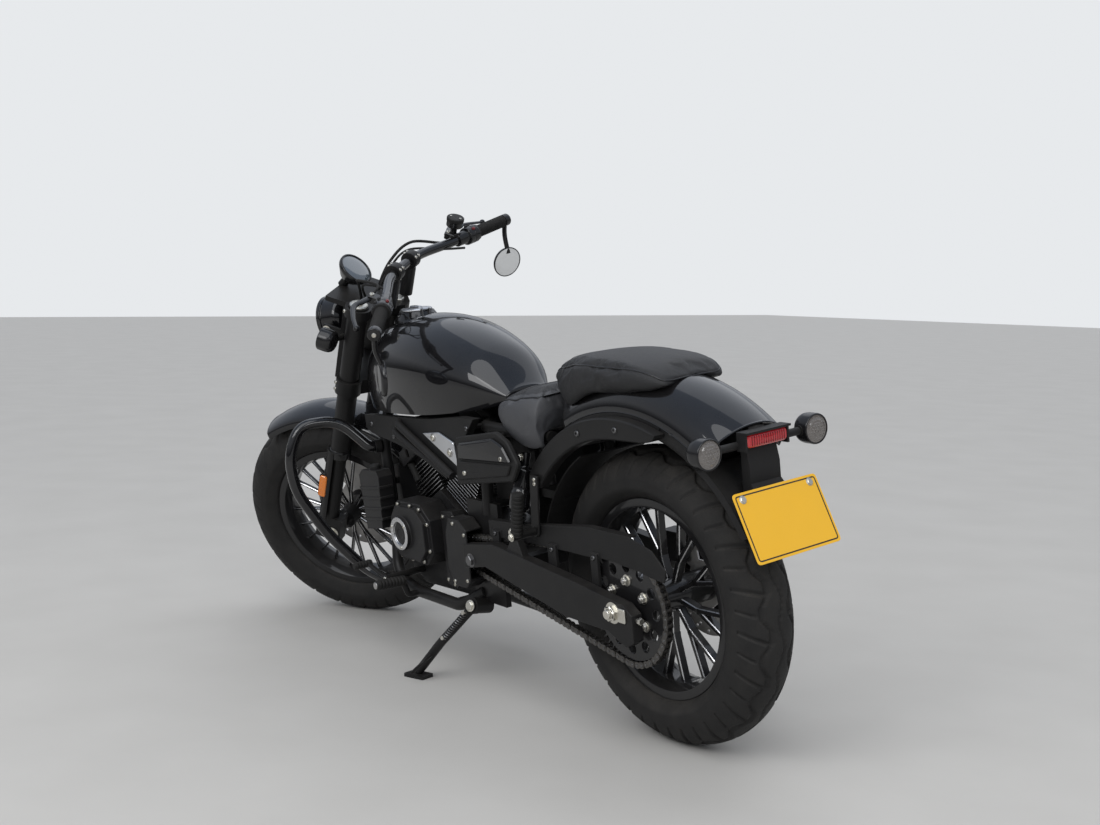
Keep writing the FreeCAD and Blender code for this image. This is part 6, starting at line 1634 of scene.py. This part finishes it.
BAR = [(-2, 0, 814), (-2, 80, 814), (-50, 200, 822), (-118, 406, 837)]
BAR_END = floats(BAR[3])
BAR_ALONG = unit(BAR_END - floats(BAR[2]))
GRIP_START = BAR_END - BAR_ALONG * 118


def add_bar():
    """One smooth bent bar in two risers with clamp bolts, and ribbed grips with end flanges."""
    right = [(x, -y, z) for x, y, z in BAR[:0:-1]]
    line = bent_run(right + BAR[1:], 60, 9)
    shapes = [(tube_along(line, 12.7, 24, UP), "gloss_paint")]
    for side in (1, -1):
        riser = rounded_profile([(17, 714.3), (17, 790), (15, 800)], 3)
        shapes.append((lathe(riser, (-2, side * 48, 0), UP, 32), "frame_paint"))
        shapes.append((lathe(rounded_profile([(18, -14), (23, -14), (23, 14), (18, 14)], 2),
                             (-2, side * 48, 814), LEFT, 40), "frame_paint"))
        for x in (-18, 14):
            for y in (-8, 8):
                shapes.append((dome_bolt((x, side * 48 + y, 828), UP, 4.2, 5), "zinc"))
    make_piece("bent_bar", "steering_set", shapes, ["handlebar"], on_fork)
    grip = np.concatenate([[(14, 0), (21.4, 0), (22, 1), (22, 4.4), (21, 5), (17.4, 5.6)],
                           peg_profile(112, 17, 24)[3:] + [0, 6.2]])
    make_piece("ribbed_grips", "steering_set", pair(lathe(grip, GRIP_START, BAR_ALONG, 36), "rubber"),
               ["grips"], on_fork)


def add_switches():
    """Switch housings with buttons, perches with ball-ended levers, the fluid reservoir and the cables."""
    middle = GRIP_START - BAR_ALONG * 62
    shapes = []
    housing = rounded_profile([(14, 0.2), (23, 0.2), (24.4, 3), (24.4, 18), (23.4, 19), (23.4, 20.5),
                               (24.4, 21.5), (24.4, 38), (22, 40.4), (18, 41), (18, 76), (14, 76)], 1.5)
    shapes += pair(lathe(housing, GRIP_START, -BAR_ALONG, 40), "gloss_plastic")
    perch = slab(rounded_outline([(8, -13), (44, -11), (44, 11), (8, 13)], 5), -10, 10, 2.4, middle, AHEAD,
                 LEFT, UP)
    shapes += pair(perch, "gloss_plastic")
    blade = smooth_path([middle + [38, 0, 0], middle + [46, 30, -2], middle + [52, 62, -4],
                         (middle + BAR_END) / 2 + [56, 28, -10], BAR_END + [54, -14, -16]], 44)
    size = 1 + 0.25 * np.cos(np.linspace(0, math.pi, 44))
    shapes += pair(section_along(blade, round_section(7.4, 14, 0.55), UP, scale=size), "gloss_plastic")
    ball = lathe([(4, -7), (6.8, -4), (7.8, 0), (6.8, 4), (4, 7)], blade[-1], LEFT, 20)
    shapes += pair(ball, "gloss_plastic")
    shapes += pair(dome_bolt(middle + [36, 0, 9.4], UP, 6.4, 4), "zinc")
    across, aside = side_axes(BAR_ALONG)
    for reach, turn, finish in ((12, 2.4, "matt_plastic"), (28, 2.1, "matt_plastic"), (20, 1.2, "dark_red")):
        out = math.cos(turn) * across + math.sin(turn) * aside
        base = GRIP_START - BAR_ALONG * reach + out * 23
        button = ball_slab(11, 9, 5.5, base, BAR_ALONG, np.cross(out, BAR_ALONG), out, 3.2, 7, 24)
        shapes += pair(button, finish)
    base = (middle + [22, 0, 0]) * [1, -1, 1]
    cup = rounded_profile([(9, 8), (9, 30), (21, 31), (22.6, 34), (22.6, 49)], 2)
    lid = rounded_profile([(23.4, 48), (24, 49.5), (24, 57), (22, 59), (12, 59.6)], 1.2)
    shapes += [(lathe(cup, base, UP, 40), "gloss_plastic"), (lathe(lid, base, UP, 40), "matt_plastic"),
               (lathe([(5.4, 0), (5.4, 1.6), (4.6, 2.2)], base + [-22.3, 0, 40], (-1, 0, 0), 20),
                "dial_glass")]
    for x in (14, -14):
        shapes.append((dome_bolt(base + [x, 0, 58.8], UP, 3.2, 1.6), "zinc"))
    make_piece("switch_housings", "steering_set", shapes, ["switchgear"], on_fork)
    left = middle + [26, 0, 0]
    right = base
    runs = [([right + [0, 6, 6], right + [6, 40, -6], (44, -150, 812), (72, -92, 770), (78, -50, 706),
              (74, -46, 640), (66, -50, 530)], 4.0),
            ([left + [14, -10, 2], left + [24, -60, 6], (52, 150, 812), (76, 92, 772), (80, 50, 706),
              (76, 46, 640), (68, 44, 530)], 3.6),
            ([left + [-26, -16, -12], left + [6, -70, -4], (40, 130, 796), (66, 84, 756), (72, 36, 700),
              (70, 30, 640), (64, 34, 530)], 3.2),
            ([right + [-46, 18, -12], right + [-10, 70, -8], (40, -130, 798), (66, -84, 756), (72, -34, 700),
              (70, -26, 640), (64, -30, 530)], 3.2)]
    make_piece("bar_cables", "steering_set", [(hose(points, radius, 60, 10, (0.2, 0.3, 1)), "rubber")
                                              for points, radius in runs], place=on_fork)


def add_mirrors():
    """Round bar-end mirrors: clamp, bent arm, a shell with a soft back and an inset glass."""
    glass = np.array([-156.0, 402, 722])
    facing = unit([-0.8, -0.58, 0.12])
    shapes = []
    clamp = rounded_profile([(13, 0.6), (17, 0.6), (17, 18), (14, 20)], 1.5)
    arm = bent_run([BAR_END + BAR_ALONG * 10, BAR_END + BAR_ALONG * 10 + [-6, 0, -44],
                    glass - facing * 4 + [0, 0, 26]], 22, 8)
    shell = rounded_profile([(10, -14), (34, -13), (42, -9), (44, -4), (44, 0), (42.6, 0.8), (41.4, 0.4),
                             (41.2, -1.4)], 3)
    for shape in (lathe(clamp, BAR_END, BAR_ALONG, 36), tube_along(arm, 6.6, 16, AHEAD),
                  lathe(shell, glass, facing, 72)):
        shapes += pair(shape, "gloss_plastic")
    pane = lathe([(41.3, -1.6), (41.2, -0.5), (40.6, -0.3), (20, -0.1)], glass, facing, 72)
    shapes += pair(pane, "mirror_glass")
    shapes += pair(dome_bolt(BAR_END + BAR_ALONG * 19.6, BAR_ALONG, 6, 3.4), "zinc")
    make_piece("bar_end_mirrors", "steering_set", shapes, ["mirrors"], on_fork)


# Seats: shells swollen by cloth, with seams and piping


# The skin's grid in metres, the smoothing passes, the frames of filling and the pinned underside in mm
SKIN_STEP = 0.005
SKIN_PASSES = 6
FILL_FRAMES = 20
PINNED_HEIGHT = 34


def merged_copy(node, name, drawn_in):
    """A merged copy of a soft CAD solid, each point drawn in along its normal."""
    shape = merged(node)
    bmesh.ops.recalc_face_normals(shape, faces=shape.faces)
    mesh = bpy.data.meshes.new(name)
    shape.to_mesh(mesh)
    shape.free()
    piece = in_scene(name, mesh)
    remesh = piece.modifiers.new("skin", "REMESH")
    remesh.mode = "VOXEL"
    remesh.voxel_size = SKIN_STEP
    relax = piece.modifiers.new("relax", "SMOOTH")
    relax.factor = 0.5
    relax.iterations = SKIN_PASSES
    bake_modifiers(piece)
    points, normals = read_points(piece.data)
    write_points(piece.data, points - normals * drawn_in)
    return piece


def read_points(mesh):
    """Points and point normals of a mesh as arrays."""
    return values_of(mesh.vertices, "co"), values_of(mesh.vertices, "normal")


def write_points(mesh, points):
    """Move a mesh's points to new places."""
    mesh.vertices.foreach_set("co", np.ascontiguousarray(points).ravel())
    mesh.update()


def swollen(piece, most):
    """Cloth pressure without gravity swells the skin; its underside is pinned, and most limits each step."""
    start, _ = read_points(piece.data)
    local = millimetres(start, BIKE)
    under = np.flatnonzero(local[:, 2] < local[:, 2].min() + PINNED_HEIGHT)
    group = piece.vertex_groups.new(name="pinned")
    group.add(under.tolist(), 1.0, "REPLACE")
    cloth = piece.modifiers.new("filling", "CLOTH")
    cloth.settings.use_pressure = True
    cloth.settings.uniform_pressure_force = 4.0
    cloth.settings.effector_weights.gravity = 0
    cloth.settings.vertex_group_mass = "pinned"
    cloth.settings.tension_stiffness = 30
    cloth.settings.compression_stiffness = 30
    cloth.settings.quality = 5
    for number in range(1, FILL_FRAMES + 1):
        scene.frame_set(number)
    bake_modifiers(piece)
    scene.frame_set(1)
    moved_to, _ = read_points(piece.data)
    step = moved_to - start
    length = np.linalg.norm(step, axis=1, keepdims=True)
    write_points(piece.data, start + step * np.minimum(1, most / 1000 / np.maximum(length, 1e-9)))


def sewn(piece, paths, depth, width):
    """Press channels into the skin: points sink along their normals by depth * exp(-(distance / width)^2)."""
    points, normals = read_points(piece.data)
    nearest = np.full(len(points), 1e9)
    for path in paths:
        for stretch in np.array_split(path, 8):
            apart = np.linalg.norm(points[:, None] - stretch[None], axis=-1).min(axis=1)
            nearest = np.minimum(nearest, apart)
    sink = depth / 1000 * np.exp(-(nearest * 1000 / width) ** 2)
    write_points(piece.data, points - normals * sink[:, None])


def on_skin(piece, path, lift=0.0):
    """Points of a path moved to the nearest places on a piece's skin, lifted off it by a few tenths."""
    tree = BVHTree.FromPolygons([vertex.co for vertex in piece.data.vertices],
                                [tuple(face.vertices) for face in piece.data.polygons])
    found = [tree.find_nearest(point) for point in path.tolist()]
    return np.array([list(place + normal * (lift / 1000)) for place, normal, _, _ in found])


def plain(points):
    """Points that are already in row metres, for make_piece."""
    return floats(points)


PIPING_RADIUS = 0.0022
STITCH_RADIUS = 0.0007


def add_seat(node, name, rim, drawn_in, most, cross_seams, side_finish):
    """A padded seat: swollen skin, a piped seam round its top edge, sewn cross channels and side panels."""
    piece = merged_copy(node, name, drawn_in / 1000)
    swollen(piece, most)
    left = floats(rim)
    loop = np.concatenate([left, left[::-1] * [1, -1, 1]])
    loop = np.concatenate([loop, loop[:1]])
    seam = on_skin(piece, on_bike(smooth_path(loop, 220)[:-1]))
    channels = [on_skin(piece, on_bike(smooth_path(line, 60))) for line in cross_seams]
    sewn(piece, [seam] + channels, 3.0, 7.0)
    mesh = piece.data
    mesh.materials.clear()
    mesh.materials.append(FINISH["vinyl"])
    mesh.materials.append(FINISH[side_finish])
    local = millimetres(values_of(mesh.polygons, "center"), BIKE)
    order = np.argsort(left[:, 0])
    edge_z = np.interp(local[:, 0], left[order, 0], left[order, 2])
    mesh.polygons.foreach_set("material_index", (local[:, 2] < edge_z - 3).astype(np.int32))
    mesh.polygons.foreach_set("use_smooth", np.ones(len(mesh.polygons), dtype=bool))
    soften = piece.modifiers.new("soften", "SUBSURF")
    soften.levels = 1
    soften.render_levels = 1
    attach(piece, "chassis")
    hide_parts(node)
    seam = on_skin(piece, seam, 0.2)
    across = np.concatenate([seam[-8:], seam, seam[:8]])
    smooth = np.stack([np.convolve(column, np.ones(9) / 9, "same") for column in across.T], axis=-1)[8:-8]
    shapes = [(section_along(smooth, round_section(PIPING_RADIUS, 9), closed=True), "gloss_plastic")]
    for channel in channels:
        shapes.append((tube_along(channel[2:-2], STITCH_RADIUS, 6, (0.1, 0.2, 1)), "thread"))
    make_piece(name + "_piping", "chassis", shapes, place=plain, crease=60)


def add_seats():
    """Rider's and passenger's seats."""
    add_seat("solo_seat", "rider_seat", [(474, 60, 714), (446, 88, 722), (414, 112, 735), (372, 125, 744),
                                         (330, 128, 750), (290, 120, 754), (266, 100, 757)],
             3.0, 9.0, [[(352, -112, 752), (352, 0, 762), (352, 112, 752)]], "side_vinyl")
    add_seat("pillion_seat", "passenger_seat",
             [(294, 34, 785), (264, 62, 803), (200, 90, 821), (120, 107, 830), (40, 106, 829),
              (-16, 102, 826), (-96, 86, 812), (-124, 62, 799)], 2.5, 7.0,
             [[(214, -97, 786), (210, -92, 812), (208, -60, 828), (208, 0, 834), (208, 60, 828),
               (210, 92, 812), (214, 97, 786)]], "vinyl")


add_wheels()
add_tank()
add_fenders()
add_side_covers()
add_frame_side()
add_engine()
add_exhaust()
add_shocks()
add_front_of_frame()
add_foot_parts()
add_tail()
add_fork()
add_headlight()
add_gauge()
add_bar()
add_switches()
add_mirrors()
add_seats()

PLAIN_NODES = {"frame": "frame_paint", "swingarm": "frame_paint", "frame_covers": "matt_plastic",
               "chain_guard": "matt_plastic", "inner_mudguard": "matt_plastic",
               "rear_caliper": "engine_paint", "front_caliper": "engine_paint"}
for node, finish in PLAIN_NODES.items():
    smooth_copy(node, finish, bevel=1.4)

scene.view_settings.view_transform = "Standard"
